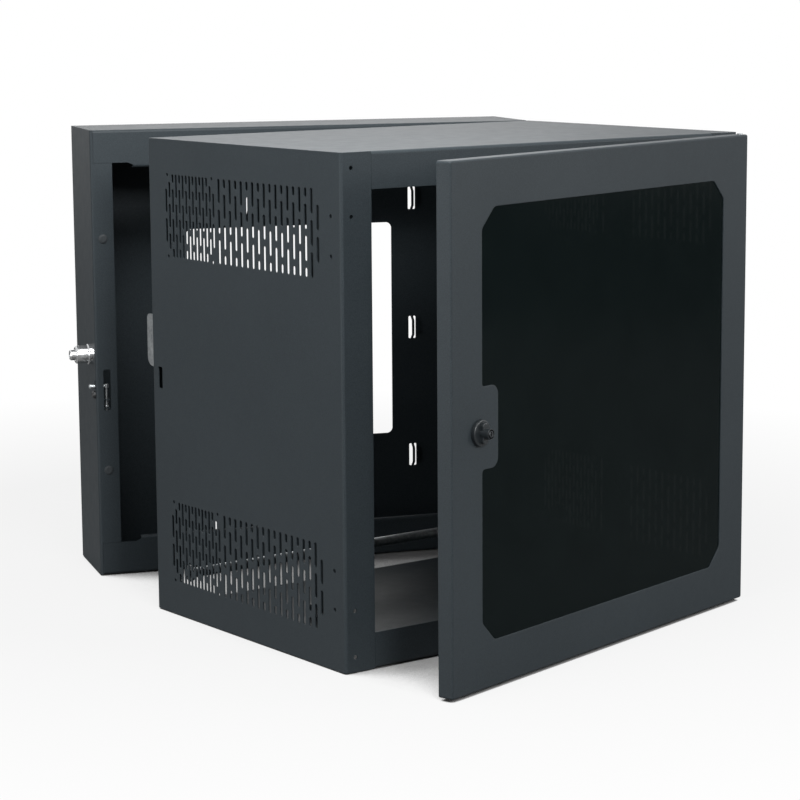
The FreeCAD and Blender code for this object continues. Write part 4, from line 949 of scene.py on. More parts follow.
# ---- back box -----------------------------------------------------------------------
@dataclass
class BackBox:
    """Shallow box on the wall: pan with side walls, end covers and rubber buttons."""

    shop: Workshop
    side_flange: float = 30.0
    end_flange: float = 45.0
    step: float = 7.0
    step_inset: float = 52.0
    step_run: float = 7.5
    lip: float = 9.0
    cable_opening: tuple[float, float, float] = (312.0, 317.0, 9.0)
    lacing_slot: Pair = (3.8, 33.5)
    lacing_bridge: float = 3.7
    lacing_bow: Pair = (5.6, 7.0)
    lacing_foot: float = 1.5
    lacing_steps: int = 8
    lacing_ease: float = 0.05
    lacing_x: Pair = (187.7, 62.9)
    lacing_row: float = 193.5
    tie_slot_x: float = 114.5
    tie_slot_height: float = 25.4
    tie_slot_end: float = 32.5
    wall_hole: tuple[float, float, float] = (406.4, 584.2, 4.5)
    latch_slot: tuple[float, float, float, float] = (15.6, 10.2, -20.0, -77.3)
    thumb_slot: tuple[float, float, float, float] = (7.5, -44.0, 2.7, 6.0)
    lock_hole: Pair = (20.5, 9.08)
    latch_screw_hole: Pair = (-55.5, 1.95)
    bumper_inset: float = 15.0
    bumper_z: float = 162.0
    bumper_radius: float = 6.3

    def build(self) -> None:
        """Make the box's sheet and its buttons."""
        self.pan()
        self.bridges()
        for up, name in ((1, "top"), (-1, "bottom")):
            self.cover(up, name)
        self.bumpers()

    def _pan_holes(self) -> list[Hole]:
        """Lacing slots, tie slots, wall holes and the cable opening, with s from the right wall."""
        side = LAYOUT.right
        wide, tall, ease = self.cable_opening
        holes = [Hole(side, 0.0, wide, tall, ease)]
        across = self.lacing_bridge + 2 * self.lacing_slot[0]
        for x, z, tall in self._pairs():
            holes.append(Hole(side - x, z, across, tall, 1.8))
        for way in (-1, 1):
            for row in (-1, 1):
                holes.append(Hole.round(side - way * self.wall_hole[0] / 2, row * self.wall_hole[1] / 2,
                                        self.wall_hole[2]))
        return holes

    def _pairs(self) -> list[tuple[float, float, float]]:
        """Middle and height of every pair of lacing slots."""
        pairs: list[tuple[float, float, float]] = []
        for way in (-1, 1):
            for row in (-1, 0, 1):
                pairs.append((way * self.lacing_x[0], row * self.lacing_row, self.lacing_slot[1]))
            for row in (-1, 1):
                pairs.append((way * self.lacing_x[1], row * self.lacing_row, self.lacing_slot[1]))
                pairs.append((way * self.tie_slot_x, row * (LAYOUT.top - self.tie_slot_end),
                              self.tie_slot_height))
        return pairs

    def _bridge(self, tall: float) -> Shell:
        """Strap between two lacing slots, pressed forward into a bow for the ties to pass behind."""
        bow, run = self.lacing_bow
        half, ease = self.lacing_bridge / 2, self.lacing_ease
        thick = LAYOUT.sheet - 2 * ease
        stations: list[Pair] = [(-tall / 2 - self.lacing_foot, 0.0)]
        for k in range(self.lacing_steps + 1):
            share = k / self.lacing_steps
            stations.append((-tall / 2 + run * share, bow * (1 - math.cos(math.pi * share)) / 2))
        stations += [(-up, rise) for up, rise in stations[::-1]]
        shell = Shell()
        rings = []
        for up, rise in stations:
            base = ease + rise
            rings.append([Vector((x, up, z)) for x, z in ((-half, base), (half, base), (half, base + thick),
                                                          (-half, base + thick))])
        for first, second in zip(rings, rings[1:]):
            for i in range(4):
                j = (i + 1) % 4
                shell.face([first[i], first[j], second[j], second[i]])
        shell.face(rings[0])
        shell.face(rings[-1])
        return shell

    def bridges(self) -> None:
        """Straps of all the lacing pairs."""
        for tall, name in ((self.lacing_slot[1], "lacing_straps"), (self.tie_slot_height, "tie_straps")):
            seats = [(Vector((x, 0, z)), Vector((0, -1, 0)), 0.0)
                     for x, z, high in self._pairs() if high == tall]
            self.shop.set_out(name, self._bridge(tall), seats, "powder_coat", Body.BACK_BOX, "back_box_shell")

    def pan(self) -> None:
        """Back pan and both side walls with their front flanges."""
        right, front_plane = LAYOUT.right, LAYOUT.back_front
        path = [(right - self.side_flange, front_plane), (right, front_plane), (right, 0), (-right, 0),
                (-right, front_plane), (-right + self.side_flange, front_plane)]
        end = LAYOUT.top - self.end_flange - LAYOUT.seam
        inset, wide, high, low = self.latch_slot
        behind, middle, reach, travel = self.thumb_slot
        thumb = Hole(LAYOUT.back_depth - behind, middle + travel / 2, 2 * reach, 2 * reach + travel,
                     reach - 0.05)
        latch = Hole(inset, (high + low) / 2, wide, high - low, 2.5)
        lock = Hole.round(LAYOUT.back_depth - self.lock_hole[0], 0.0, self.lock_hole[1])
        screw = Hole.round(LAYOUT.back_depth - behind, *self.latch_screw_hole)
        fold = Fold(path, (LAYOUT.bend, LAYOUT.rear_bend, LAYOUT.rear_bend, LAYOUT.bend),
                    (-LAYOUT.top, LAYOUT.top), plan(Side.LEFT),
                    holes={2: self._pan_holes(), 3: [thumb, lock, screw], 4: [latch]},
                    flat_spans={0: (-end, end), 4: (-end, end)}, breaks=(-end, end))
        shell = Shell()
        fold.into(shell, self.shop.press)
        self.shop.piece("back_pan", shell, "powder_coat", Body.BACK_BOX, "back_box_shell")

    def cover(self, up: int, name: str) -> None:
        """Top or bottom cover with its stepped and lipped front flange."""
        rear = -LAYOUT.sheet - LAYOUT.seam
        plane, top = LAYOUT.back_front, LAYOUT.top
        foot = top - self.end_flange - self.step
        path = [(rear, top), (plane, top), (plane, foot), (plane + self.lip, foot)]
        slim = LAYOUT.right - LAYOUT.bend - LAYOUT.seam
        wide = LAYOUT.right - LAYOUT.sheet - LAYOUT.seam
        ease = LAYOUT.bend - 1.0
        turn = rear - (plane + LAYOUT.bend)
        shoulder = turn - LAYOUT.seam
        outer = LAYOUT.right - self.step_inset
        inner = outer - self.step_run
        half = rounded_loop([(0, -wide, ease), (shoulder, -wide, ease), (shoulder, -slim, 0),
                             (turn, -slim, 0), (turn, slim, 0), (shoulder, slim, 0), (shoulder, wide, ease),
                             (0, wide, ease)], 4) \
            if shoulder - turn < -1e-6 else []
        drop = self.end_flange
        low = self.end_flange + self.step - LAYOUT.bend
        flange = [(LAYOUT.bend, -slim), (drop, -slim), (drop, -outer), (low, -inner),
                  (low, inner), (drop, outer), (drop, slim), (LAYOUT.bend, slim)]
        fold = Fold(path, (LAYOUT.bend, LAYOUT.bend), (-slim, slim), profile(up),
                    loops={0: [half], 1: [flange]},
                    flat_spans={2: (-inner, inner)}, bend_spans={2: (-inner, inner)})
        shell = Shell()
        fold.into(shell, self.shop.press)
        self.shop.piece(f"back_{name}_cover", shell, "powder_coat", Body.BACK_BOX, f"back_box_{name}")

    def bumpers(self) -> None:
        """Rubber buttons pushed into the side flanges."""
        pattern = Shell()
        proud = LAYOUT.swing_gap - LAYOUT.seam
        turned(pattern, [(0, 0, 0), (self.bumper_radius, 0, 0), (self.bumper_radius, proud * 0.55, 0.4),
                         (self.bumper_radius * 0.62, proud, 1.0), (0, proud, 0)], Vector(),
                         Vector((0, 0, 1)), 40)
        turned(pattern, [(0, -0.02, 0), (2.4, -0.02, 0), (2.4, -LAYOUT.sheet, 0),
                         (3.0, -LAYOUT.sheet - 0.6, 0.3), (1.6, -LAYOUT.sheet - 3, 0.5),
                         (0, -LAYOUT.sheet - 3, 0)],
               Vector(), Vector((0, 0, 1)), 24)
        x = LAYOUT.right - self.bumper_inset
        seats = [(Vector((side * x, LAYOUT.back_front, end * self.bumper_z)), Vector((0, -1, 0)), 0.0)
                 for side in (-1, 1) for end in (-1, 1)]
        self.shop.set_out("rubber_buttons", pattern, seats, "black_rubber", Body.BACK_BOX, "flange_bumpers")


# ---- centre section -----------------------------------------------------------------
@dataclass(frozen=True)
class VentRule:
    """How one vent's slots are set out: a fan grille, then a wider-pitched field."""

    slot_height: float = 30.5
    slot_gap: float = 7.6
    fan_from_rear: float = 97.0
    fan_columns: int = 15
    fan_pitch: float = 7.94
    fan_slot: float = 5.0
    field_columns: int = 18
    field_pitch: float = 12.6
    field_slot: float = 5.5
    fan_hole_spacing: float = 104.8
    fan_hole_radius: float = 2.2

    def column(self, s: float, middle: float, kind: str, width: float) -> list[Hole]:
        """Slots of one column: three whole, three with short ends, two, or two with part slots."""
        pitch = self.slot_height + self.slot_gap
        half = self.slot_height / 2
        reach = pitch + half
        inner = [(-pitch / 2 - half, -pitch / 2 + half), (pitch / 2 - half, pitch / 2 + half)]
        ends = [(-reach, -pitch - self.slot_gap / 2), (pitch + self.slot_gap / 2, reach)]
        spans = {
            "three": [(-reach, -reach + 2 * half), (-half, half), (reach - 2 * half, reach)],
            "three_short": [(-reach + 10, -reach + 2 * half), (-half, half), (reach - 2 * half, reach - 10)],
            "two": inner,
            "four": inner + ends,
        }
        return [Hole(s, middle + (low + high) / 2, width, high - low, width / 2 - 0.01)
                for low, high in spans[kind]]

    def holes(self, middle: float) -> list[Hole]:
        """All holes of the vent centred at a height, with s from the section's rear."""
        made: list[Hole] = []
        centre = (self.fan_columns - 1) // 2
        for i in range(self.fan_columns):
            out = abs(i - centre)
            kind = "four" if (centre - out) % 2 == 0 else "three"
            kind = {centre: "two", centre - 1: "three_short"}.get(out, kind)
            made += self.column(self.fan_from_rear + (i - centre) * self.fan_pitch, middle, kind,
                                self.fan_slot)
        first = self.fan_from_rear + centre * self.fan_pitch + self.field_pitch
        for i in range(self.field_columns):
            kind = "two" if i == self.field_columns - 1 else ("three", "four")[i % 2]
            made += self.column(first + i * self.field_pitch, middle, kind, self.field_slot)
        for ds in (-1, 1):
            for dw in (-1, 1):
                made.append(Hole.round(self.fan_from_rear + ds * self.fan_hole_spacing / 2,
                                       middle + dw * self.fan_hole_spacing / 2, self.fan_hole_radius))
        return made


@dataclass
class CentreSection:
    """Swinging section: vented sides, end covers, rails and the tube across its floor."""

    shop: Workshop
    vent: VentRule = VentRule()
    vent_end: float = 97.5
    front_flange: float = 44.0
    end_flange: float = 44.45
    rear_flange: float = 36.0
    turn_down: float = 15.0
    flange_hole: tuple[float, float, float, float] = (14.8, 18.3, 75.3, 2.6)
    side_hole: tuple[float, float, float, float] = (21.0, 75.0, 122.4, 2.6)
    latch_window: tuple[float, float, float] = (18.0, 10.0, 28.5)
    hook_hole: tuple[float, float, float, float] = (14.1, 3.0, -23.5, -40.5)
    tab_slot: tuple[float, float, float] = (7.7, 7.0, 2.8)
    tab_from_end: float = 5.6
    rail_units: int = 12
    unit: float = 44.45
    rail_setback: float = 121.0
    rail_side: float = 51.0
    rail_face: float = 21.0
    rail_inner: float = 225.425
    rail_hole_x: float = 232.55
    rail_overrun: float = 14.5
    rail_sheet: float = 2.0
    rail_bend: float = 3.0
    bar: tuple[float, float, float, float] = (6.35, 1.5, 77.0, 59.8)
    bar_foot: Pair = (11.0, 2.0)

    def build(self) -> None:
        """Make the section's sheet, rails and tube."""
        for side in Side:
            self.side_panel(side)
            self.rail(side)
        for up, name in ((1, "top"), (-1, "bottom")):
            self.cover(up, name)
        self.cross_bar()

    def side_panel(self, side: Side) -> None:
        """Vented side panel with its front and rear flanges."""
        left, rear, plane, top = -LAYOUT.right, LAYOUT.centre_rear, LAYOUT.centre_front, LAYOUT.top
        path = [(left + self.rear_flange, rear), (left, rear), (left, plane),
                (left + self.front_flange, plane)]
        wall = self.vent.holes(top - self.vent_end) + self.vent.holes(self.vent_end - top)
        flange: list[Hole] = []
        setback, *ends, radius = self.side_hole
        inset, *flange_ends, flange_radius = self.flange_hole
        for way in (-1, 1):
            wall += [Hole.round(LAYOUT.centre_depth - setback, way * (top - end), radius) for end in ends]
            flange += [Hole.round(inset, way * (top - end), flange_radius) for end in flange_ends]
        window, wide, tall = self.latch_window
        wall.append(Hole(window, 0.0, wide, tall, 2.0))
        back: list[Hole] = []
        if side is Side.LEFT:
            x, thick, high, low = self.hook_hole
            back.append(Hole(self.rear_flange - x - thick / 2, (high + low) / 2, thick + 1, high - low, 0.5))
        else:
            s, wide, tall = self.tab_slot
            flange += [Hole(s, way * (top - self.tab_from_end - 1.0), wide, tall, 0.4) for way in (-1, 1)]
        fold = Fold(path, (LAYOUT.rear_bend, LAYOUT.bend), (-top, top), plan(side),
                    holes={0: back, 1: wall, 2: flange})
        shell = Shell()
        fold.into(shell, self.shop.press)
        name = side.name.lower()
        self.shop.piece(f"vented_side_{name}", shell, "powder_coat", Body.CENTRE, f"side_panel_{name}")

    def cover(self, up: int, name: str) -> None:
        """Top or bottom cover with its front flange and turned-down side edges."""
        rear, plane, top = LAYOUT.centre_rear, LAYOUT.centre_front, LAYOUT.top
        slim = LAYOUT.right - self.front_flange - LAYOUT.seam
        wide = LAYOUT.right - LAYOUT.sheet - LAYOUT.seam
        near = LAYOUT.sheet + LAYOUT.seam
        far = LAYOUT.centre_depth - near
        turn = LAYOUT.centre_depth - LAYOUT.bend
        ease = LAYOUT.bend - 1.0
        gap = slim + LAYOUT.seam
        half = [(0, -slim, 0), (near, -slim, 0), (near, -wide, ease), (far, -wide, ease), (far, -gap, 0),
                (turn, -gap, 0), (turn, -slim, 0)]
        outline = rounded_loop(half + [(s, -w, r) for s, w, r in half[::-1]], 4)
        path = [(rear, top), (plane, top), (plane, top - self.end_flange)]
        fold = Fold(path, (LAYOUT.bend,), (-slim, slim), profile(up), loops={0: [outline]})
        shell = Shell()
        fold.into(shell, self.shop.press)
        for way in (-1, 1):
            edge = sorted((way * wide, way * (wide - LAYOUT.sheet)))
            levels = sorted((up * (top - LAYOUT.sheet), up * (top - self.turn_down)))
            box_shell(shell, Vector((edge[0], plane + near + LAYOUT.bend, levels[0])),
                      Vector((edge[1], rear - near - LAYOUT.bend, levels[1])))
        self.shop.piece(f"centre_{name}_cover", shell, "powder_coat", Body.CENTRE, f"{name}_panel")

    def rail(self, side: Side) -> None:
        """19 inch rail with three tapped holes a unit."""
        plane = LAYOUT.centre_front + self.rail_setback
        outer = self.rail_inner + self.rail_face
        path = [(-outer, plane + self.rail_side), (-outer, plane), (-self.rail_inner, plane)]
        half = self.rail_units * self.unit / 2
        holes = [Hole.round(outer - self.rail_hole_x, -half + unit * self.unit + step, 2.4)
                 for unit in range(self.rail_units) for step in (6.35, 22.225, 38.1)]
        reach = half + self.rail_overrun
        fold = Fold(path, (self.rail_bend,), (-reach, reach), plan(side), thickness=self.rail_sheet,
                    holes={1: holes})
        shell = Shell()
        fold.into(shell, self.shop.press)
        name = side.name.lower()
        self.shop.piece(f"tapped_rail_{name}", shell, "powder_coat", Body.CENTRE, f"rack_rail_{name}")

    def cross_bar(self) -> None:
        """Plated tube with a round foot at each wall."""
        radius, wall, from_rear, from_bottom = self.bar
        foot_radius, foot = self.bar_foot
        start = Vector((-LAYOUT.right + LAYOUT.sheet + LAYOUT.seam, LAYOUT.centre_rear - from_rear,
                        from_bottom - LAYOUT.top))
        length = -2 * start.x
        bore = radius - wall
        ring = [(bore, 0, 0), (foot_radius, 0, 0), (foot_radius, foot, 0.6), (radius, foot, 0.5),
                (radius, length - foot, 0.5), (foot_radius, length - foot, 0.6), (foot_radius, length, 0),
                (bore, length, 0)]
        shell = Shell()
        turned(shell, ring, start, Vector((1, 0, 0)), sides=40, closed=True)
        self.shop.piece("floor_tube", shell, "zinc_plate", Body.CENTRE, "lower_cross_bar")


# ---- door ---------------------------------------------------------------------------
@dataclass
class Door:
    """Door: formed pan with a large window opening and the lock tab left standing in it."""

    shop: Workshop
    rim: float = 2.5
    corner: float = 3.0
    opening: tuple[float, float, float] = (518.0, 506.5, 24.0)
    corner_ease: float = 10.0
    edge_ease: float = 0.8
    tab: tuple[float, float, float] = (30.5, 97.0, 12.0)
    tab_fillet: float = 4.0
    lock_hole: float = 7.38
    notch: tuple[float, float, float] = (7.0, 1.5, 5.1)
    pin_forward: float = 12.5

    def _ring(self, offset: float) -> tuple[Loop, list[Vector]]:
        """Rounded outline set in by an offset, with the way out at each point."""
        half_x = LAYOUT.right - LAYOUT.door_reveal - offset
        half_z = LAYOUT.top - LAYOUT.door_reveal - offset
        radius = max(self.corner - offset, 0.5)
        points: Loop = []
        ways: list[Vector] = []
        for k, (sx, sz) in enumerate(((1, 1), (-1, 1), (-1, -1), (1, -1))):
            for i in range(6):
                turn = math.pi / 2 * (k + i / 5)
                way = Vector((math.cos(turn), math.sin(turn)))
                points.append((sx * (half_x - radius) + way.x * radius,
                               sz * (half_z - radius) + way.y * radius))
                ways.append(way)
        return points, ways

    def _window(self) -> Loop:
        """Outline of the window opening, with its corners cut across."""
        wide, tall, cut = self.opening
        reach, high, round_off = self.tab
        x, z, tab, ease = wide / 2, tall / 2, high / 2, self.corner_ease
        return rounded_loop([(-x + cut, -z, ease), (x - cut, -z, ease), (x, -z + cut, ease),
                             (x, z - cut, ease), (x - cut, z, ease), (-x + cut, z, ease),
                             (-x, z - cut, ease), (-x, tab, self.tab_fillet), (-x + reach, tab, round_off),
                             (-x + reach, -tab, round_off), (-x, -tab, self.tab_fillet),
                             (-x, -z + cut, ease)], 8)

    def _window_edge(self, shell: Shell, plane: float) -> None:
        """Ring of sheet round the opening, with its front edge eased."""
        ease, sheet = self.edge_ease, LAYOUT.sheet
        section = [(ease, plane, 0), (0, plane, ease), (0, plane + sheet, 0), (ease, plane + sheet, 0)]
        window = self._window()
        for run in rounded_runs(section, True, 4):
            first, second = grown_loop(window, run.start.x), grown_loop(window, run.end.x)
            hub = grown_loop(window, 1.0)
            for i in range(len(window)):
                j = (i + 1) % len(window)
                ways = [Vector(hub[k]) - Vector(window[k]) for k in (i, j)]
                corners = ((first[i], run.start.y, run.start_normal, ways[0]),
                           (first[j], run.start.y, run.start_normal, ways[1]),
                           (second[j], run.end.y, run.end_normal, ways[1]),
                           (second[i], run.end.y, run.end_normal, ways[0]))
                points = [Vector((spot[0], depth, spot[1])) for spot, depth, _, _ in corners]
                normals = [Vector((normal.x * way.x, normal.y, normal.x * way.y))
                           for _, _, normal, way in corners]
                shell.face(points, normals)

    def build(self, lock: Vector) -> None:
        """Make the pan, with its lock hole at a given place on the front."""
        plane, rear, sheet = LAYOUT.door_front, LAYOUT.door_rear, LAYOUT.sheet
        shell = Shell()
        rim_loop, _ = self._ring(self.rim)
        hole = Hole.round(lock.x, lock.z, self.lock_hole)
        skin = self.shop.press.cut([rim_loop, grown_loop(self._window(), self.edge_ease)], [hole], sheet)
        for points in skin:
            shell.face([Vector((p.x, plane + p.z, p.y)) for p in points])
        section = [(self.rim, plane, 0), (0, plane, self.rim), (0, rear, 0.3), (sheet, rear, 0.3),
                   (sheet, plane + sheet, self.rim - sheet), (self.rim, plane + sheet, 0)]
        for run in rounded_runs(section, True, 6):
            first, ways = self._ring(run.start.x)
            second, _ = self._ring(run.end.x)
            for i in range(len(first)):
                j = (i + 1) % len(first)
                corners = ((first[i], run.start, run.start_normal, ways[i]),
                           (first[j], run.start, run.start_normal, ways[j]),
                           (second[j], run.end, run.end_normal, ways[j]),
                           (second[i], run.end, run.end_normal, ways[i]))
                points = [Vector((spot[0], at.y, spot[1])) for spot, at, _, _ in corners]
                normals = [Vector((-normal.x * way.x, normal.y, -normal.x * way.y))
                           for _, _, normal, way in corners]
                shell.face(points, normals)
        self._window_edge(shell, plane)
        mesh = self._notched(shell.build("door_pan", self.shop.stance.of(Body.DOOR)))
        self.shop.add(mesh, "powder_coat", Body.DOOR, ("door_frame",))

    def _notched(self, blank: bpy.types.Mesh) -> bpy.types.Mesh:
        """Cut the two notches that clear the hinge tabs out of the pan's right side.

        Args:
            blank: The pan's mesh, not yet made a piece.

        Returns:
            The cut mesh, under the pan's name.
        """
        forward, near, far = self.notch
        shell = Shell()
        right = LAYOUT.right - LAYOUT.door_reveal
        top = LAYOUT.top - LAYOUT.door_reveal
        pin = LAYOUT.centre_front - self.pin_forward
        for way in (-1, 1):
            levels = sorted((way * (top - near), way * (top - far)))
            box_shell(shell, Vector((right - LAYOUT.sheet - 2, pin - forward, levels[0])),
                      Vector((right + 1, LAYOUT.door_rear + 1, levels[1])))
        cutter = bpy.data.objects.new("notch", shell.build("notch", self.shop.stance.of(Body.DOOR)))
        work = bpy.data.objects.new("notch_work", blank)
        for part in (cutter, work):
            bpy.context.scene.collection.objects.link(part)
        cut = work.modifiers.new("notch", "BOOLEAN")
        cut.operation = "DIFFERENCE"
        cut.solver = "EXACT"
        cut.object = cutter
        graph = bpy.context.evaluated_depsgraph_get()
        made = bpy.data.meshes.new_from_object(work.evaluated_get(graph))
        for part in (cutter, work):
            bpy.data.objects.remove(part)
        name = blank.name
        blank.name = "notch_blank"
        made.name = name
        return made


# ---- locks and latch ----------------------------------------------------------------
@dataclass
class DoorLock:
    """Quarter-turn knob with its key plug, on the door's lock tab."""

    shop: Workshop
    inset: float = 53.8
    height: float = -4.0
    disc: Pair = (15.5, 5.0)
    grip: tuple[float, float, float] = (10.0, 25.0, 4.5)
    barrel: Pair = (6.3, 7.5)
    grip_bore: float = 4.2
    plug: float = 3.9
    keyway: Pair = (1.4, 5.6)
    keyway_depth: float = 6.0
    spindle: float = 4.0
    cam_behind: float = 2.5

    @property
    def centre(self) -> Vector:
        """Where the knob's axis meets the door's front."""
        return Vector((-LAYOUT.right + self.inset, LAYOUT.door_front, self.height))

    def build(self) -> None:
        """Make the knob and the plug."""
        seat = self.centre - Vector((0, LAYOUT.seam, 0))
        out = Vector((0, -1, 0))
        radius, thick = self.disc
        wide, tall, proud = self.grip
        tube, reach = self.barrel
        end = thick + proud + reach
        shell = Shell()
        turned(shell, [(0, 0, 0), (radius, 0, 0), (radius, thick, 1.6), (tube, thick, 0.0),
                       (tube, end, 0.5), (tube - 0.9, end, 0.2), (tube - 0.9, end - 4.0, 0.2),
                       (self.plug + 0.08, end - 4.0, 0), (self.plug + 0.08, thick, 0), (0, thick, 0)],
               seat, out, sides=64)
        grip = Shell()
        body = [(-wide / 2, -tall / 2, wide * 0.42), (wide / 2, -tall / 2, wide * 0.42),
                (wide / 2, tall / 2, wide * 0.42), (-wide / 2, tall / 2, wide * 0.42)]
        self._grip(grip, body, seat, thick - 0.3, thick + proud)
        spindle = Shell()
        shank = LAYOUT.centre_front + LAYOUT.sheet + self.cam_behind - seat.y
        turned(spindle, [(0, -shank, 0), (self.spindle, -shank, 0), (self.spindle, 0, 0), (0, 0, 0)], seat,
               out, 32)
        for extra in (grip, spindle):
            for corners, normals in extra.faces.values():
                shell.face([extra.points[i] for i in corners], normals)
        self.shop.piece("turn_knob", shell, "black_plastic", Body.KNOB, "door_knob")
        self._plug(seat, thick, end)

    def _grip(self, shell: Shell, outline: Sequence[tuple[float, float, float]], seat: Vector,
              low: float, high: float) -> None:
        """Upright grip with a rounded front edge, bored so that the plug turns clear of it."""
        ease = 1.4
        levels = [(low, 1.0)]
        for k in range(5):
            turn = math.pi / 2 * k / 4
            levels.append((high - ease + ease * math.sin(turn), 1 - ease * (1 - math.cos(turn)) / 12.5))
        rows = [[(u * scale, v * scale) for u, v in rounded_loop(outline, 5)] for _, scale in levels]
        for (a, _), (b, _), first, second in zip(levels, levels[1:], rows, rows[1:]):
            for i in range(len(first)):
                j = (i + 1) % len(first)
                spots = ((first[i], a), (first[j], a), (second[j], b), (second[i], b))
                shell.face([seat + Vector((u, -level, v)) for (u, v), level in spots])
        sides = 48
        turns = [2 * math.pi * k / sides for k in range(sides)]
        bore = [(self.grip_bore * math.cos(turn), self.grip_bore * math.sin(turn)) for turn in turns]
        for level, row in ((levels[0][0], rows[0]), (levels[-1][0], rows[-1])):
            for points in self.shop.press.cut([row, bore], [], 0.0):
                shell.face([seat + Vector((p.x, -level, p.y)) for p in points])
        for (u0, v0), (u1, v1) in zip(bore, bore[1:] + bore[:1]):
            shell.face([seat + Vector((u0, -low, v0)), seat + Vector((u1, -low, v1)),
                        seat + Vector((u1, -levels[-1][0], v1)), seat + Vector((u0, -levels[-1][0], v0))])

    def _plug(self, seat: Vector, low: float, end: float) -> None:
        """Key plug with a real keyway sunk in its face."""
        shell = Shell()
        face = end + 0.5
        sides = 40
        turned(shell, [(0, low + 0.4, 0), (self.plug, low + 0.4, 0), (self.plug, face - 0.4, 0),
                       (self.plug - 0.4, face, 0)],
               Vector(), Vector((0, 0, 1)), sides=sides)
        across = Vector((0, 0, 1)).orthogonal().normalized()
        other = Vector((0, 0, 1)).cross(across)
        rim = []
        for i in range(sides):
            spoke = across * math.cos(2 * math.pi * i / sides) + other * math.sin(2 * math.pi * i / sides)
            rim.append((spoke.x * (self.plug - 0.4), spoke.y * (self.plug - 0.4)))
        half_w, half_h = self.keyway[0] / 2, self.keyway[1] / 2
        slot = [(-half_w, -half_h), (half_w * 0.4, -half_h), (half_w * 0.4, -half_h * 0.4),
                (half_w, -half_h * 0.3), (half_w, half_h), (-half_w, half_h)]
        for points in self.shop.press.cut([rim, slot], [], 0.0):
            shell.face([Vector((p.x, p.y, face)) for p in points])
        for points in self.shop.press.cut([slot], [], 0.0):
            shell.face([Vector((p.x, p.y, face - self.keyway_depth)) for p in points])
        for (u0, v0), (u1, v1) in zip(slot, slot[1:] + slot[:1]):
            shell.face([Vector((u0, v0, face)), Vector((u1, v1, face)),
                        Vector((u1, v1, face - self.keyway_depth)),
                        Vector((u0, v0, face - self.keyway_depth))])
        turn = Matrix(((1, 0, 0), (0, 0, -1), (0, 1, 0))).to_4x4()
        placed = Shell()
        for corners, normals in shell.faces.values():
            placed.face([seat + turn @ shell.points[i] for i in corners],
                        [turn @ normal for normal in normals] if normals else None)
        self.shop.piece("keyed_plug", placed, "zinc_plate", Body.KEY, "key_plug", finish="plug_face")


@dataclass
class SideLock:
    """Push lock on the back box's left wall."""

    shop: Workshop
    behind: float = 20.5
    collar: Pair = (14.2, 11.0)
    barrel: Pair = (12.5, 13.6)
    thread: float = 9.0
    plunger: Pair = (7.5, 7.5)
    bolt: float = 4.0
    bolt_reach: float = 31.8
    travel: float = 7.3

    def build(self) -> None:
        """Make the housing and the plunger."""
        wall = Vector((-LAYOUT.right, LAYOUT.back_front + self.behind, 0))
        out = Vector((-1, 0, 0))
        collar, low = self.collar
        barrel, more = self.barrel
        end = low + more
        bore = self.plunger[0] + 0.08
        shell = Shell()
        inner = -LAYOUT.sheet - 9.0
        turned(shell, [(self.bolt + 0.08, inner, 0), (self.thread, inner, 0.6), (self.thread, 0, 0),
                       (collar, 0, 0), (collar, low - 4.2, 0.9), (barrel + 0.2, low - 3.4, 0.5),
                       (barrel, end - 1.8, 0.8), (barrel - 1.8, end, 0.7), (bore + 0.9, end, 0.3),
                       (bore, end - 0.9, 0.3), (bore, 1.0, 0),
                       (self.bolt + 0.08, 1.0, 0)], wall, out, sides=72, closed=True)
        self.shop.piece("push_lock_housing", shell, "chrome_plate", Body.BACK_BOX, "side_lock_housing")
        plunger, proud = self.plunger
        face = end + proud
        head = face - (proud + end - 2 - self.travel)
        core = Shell()
        turned(core, [(0, -self.bolt_reach, 0), (self.bolt - 0.7, -self.bolt_reach, 0.2),
                      (self.bolt, -self.bolt_reach + 0.9, 0.4), (self.bolt, head, 0), (plunger, head, 0.4),
                      (plunger, face - 1.5, 0.7), (plunger - 1.2, face, 0.6), (4.6, face, 0.2),
                      (4.4, face - 0.5, 0.2), (0, face - 0.5, 0)], wall, out, sides=56)
        self.shop.piece("push_lock_plunger", core, "chrome_plate", Body.SIDE_LOCK, "side_lock_plunger")


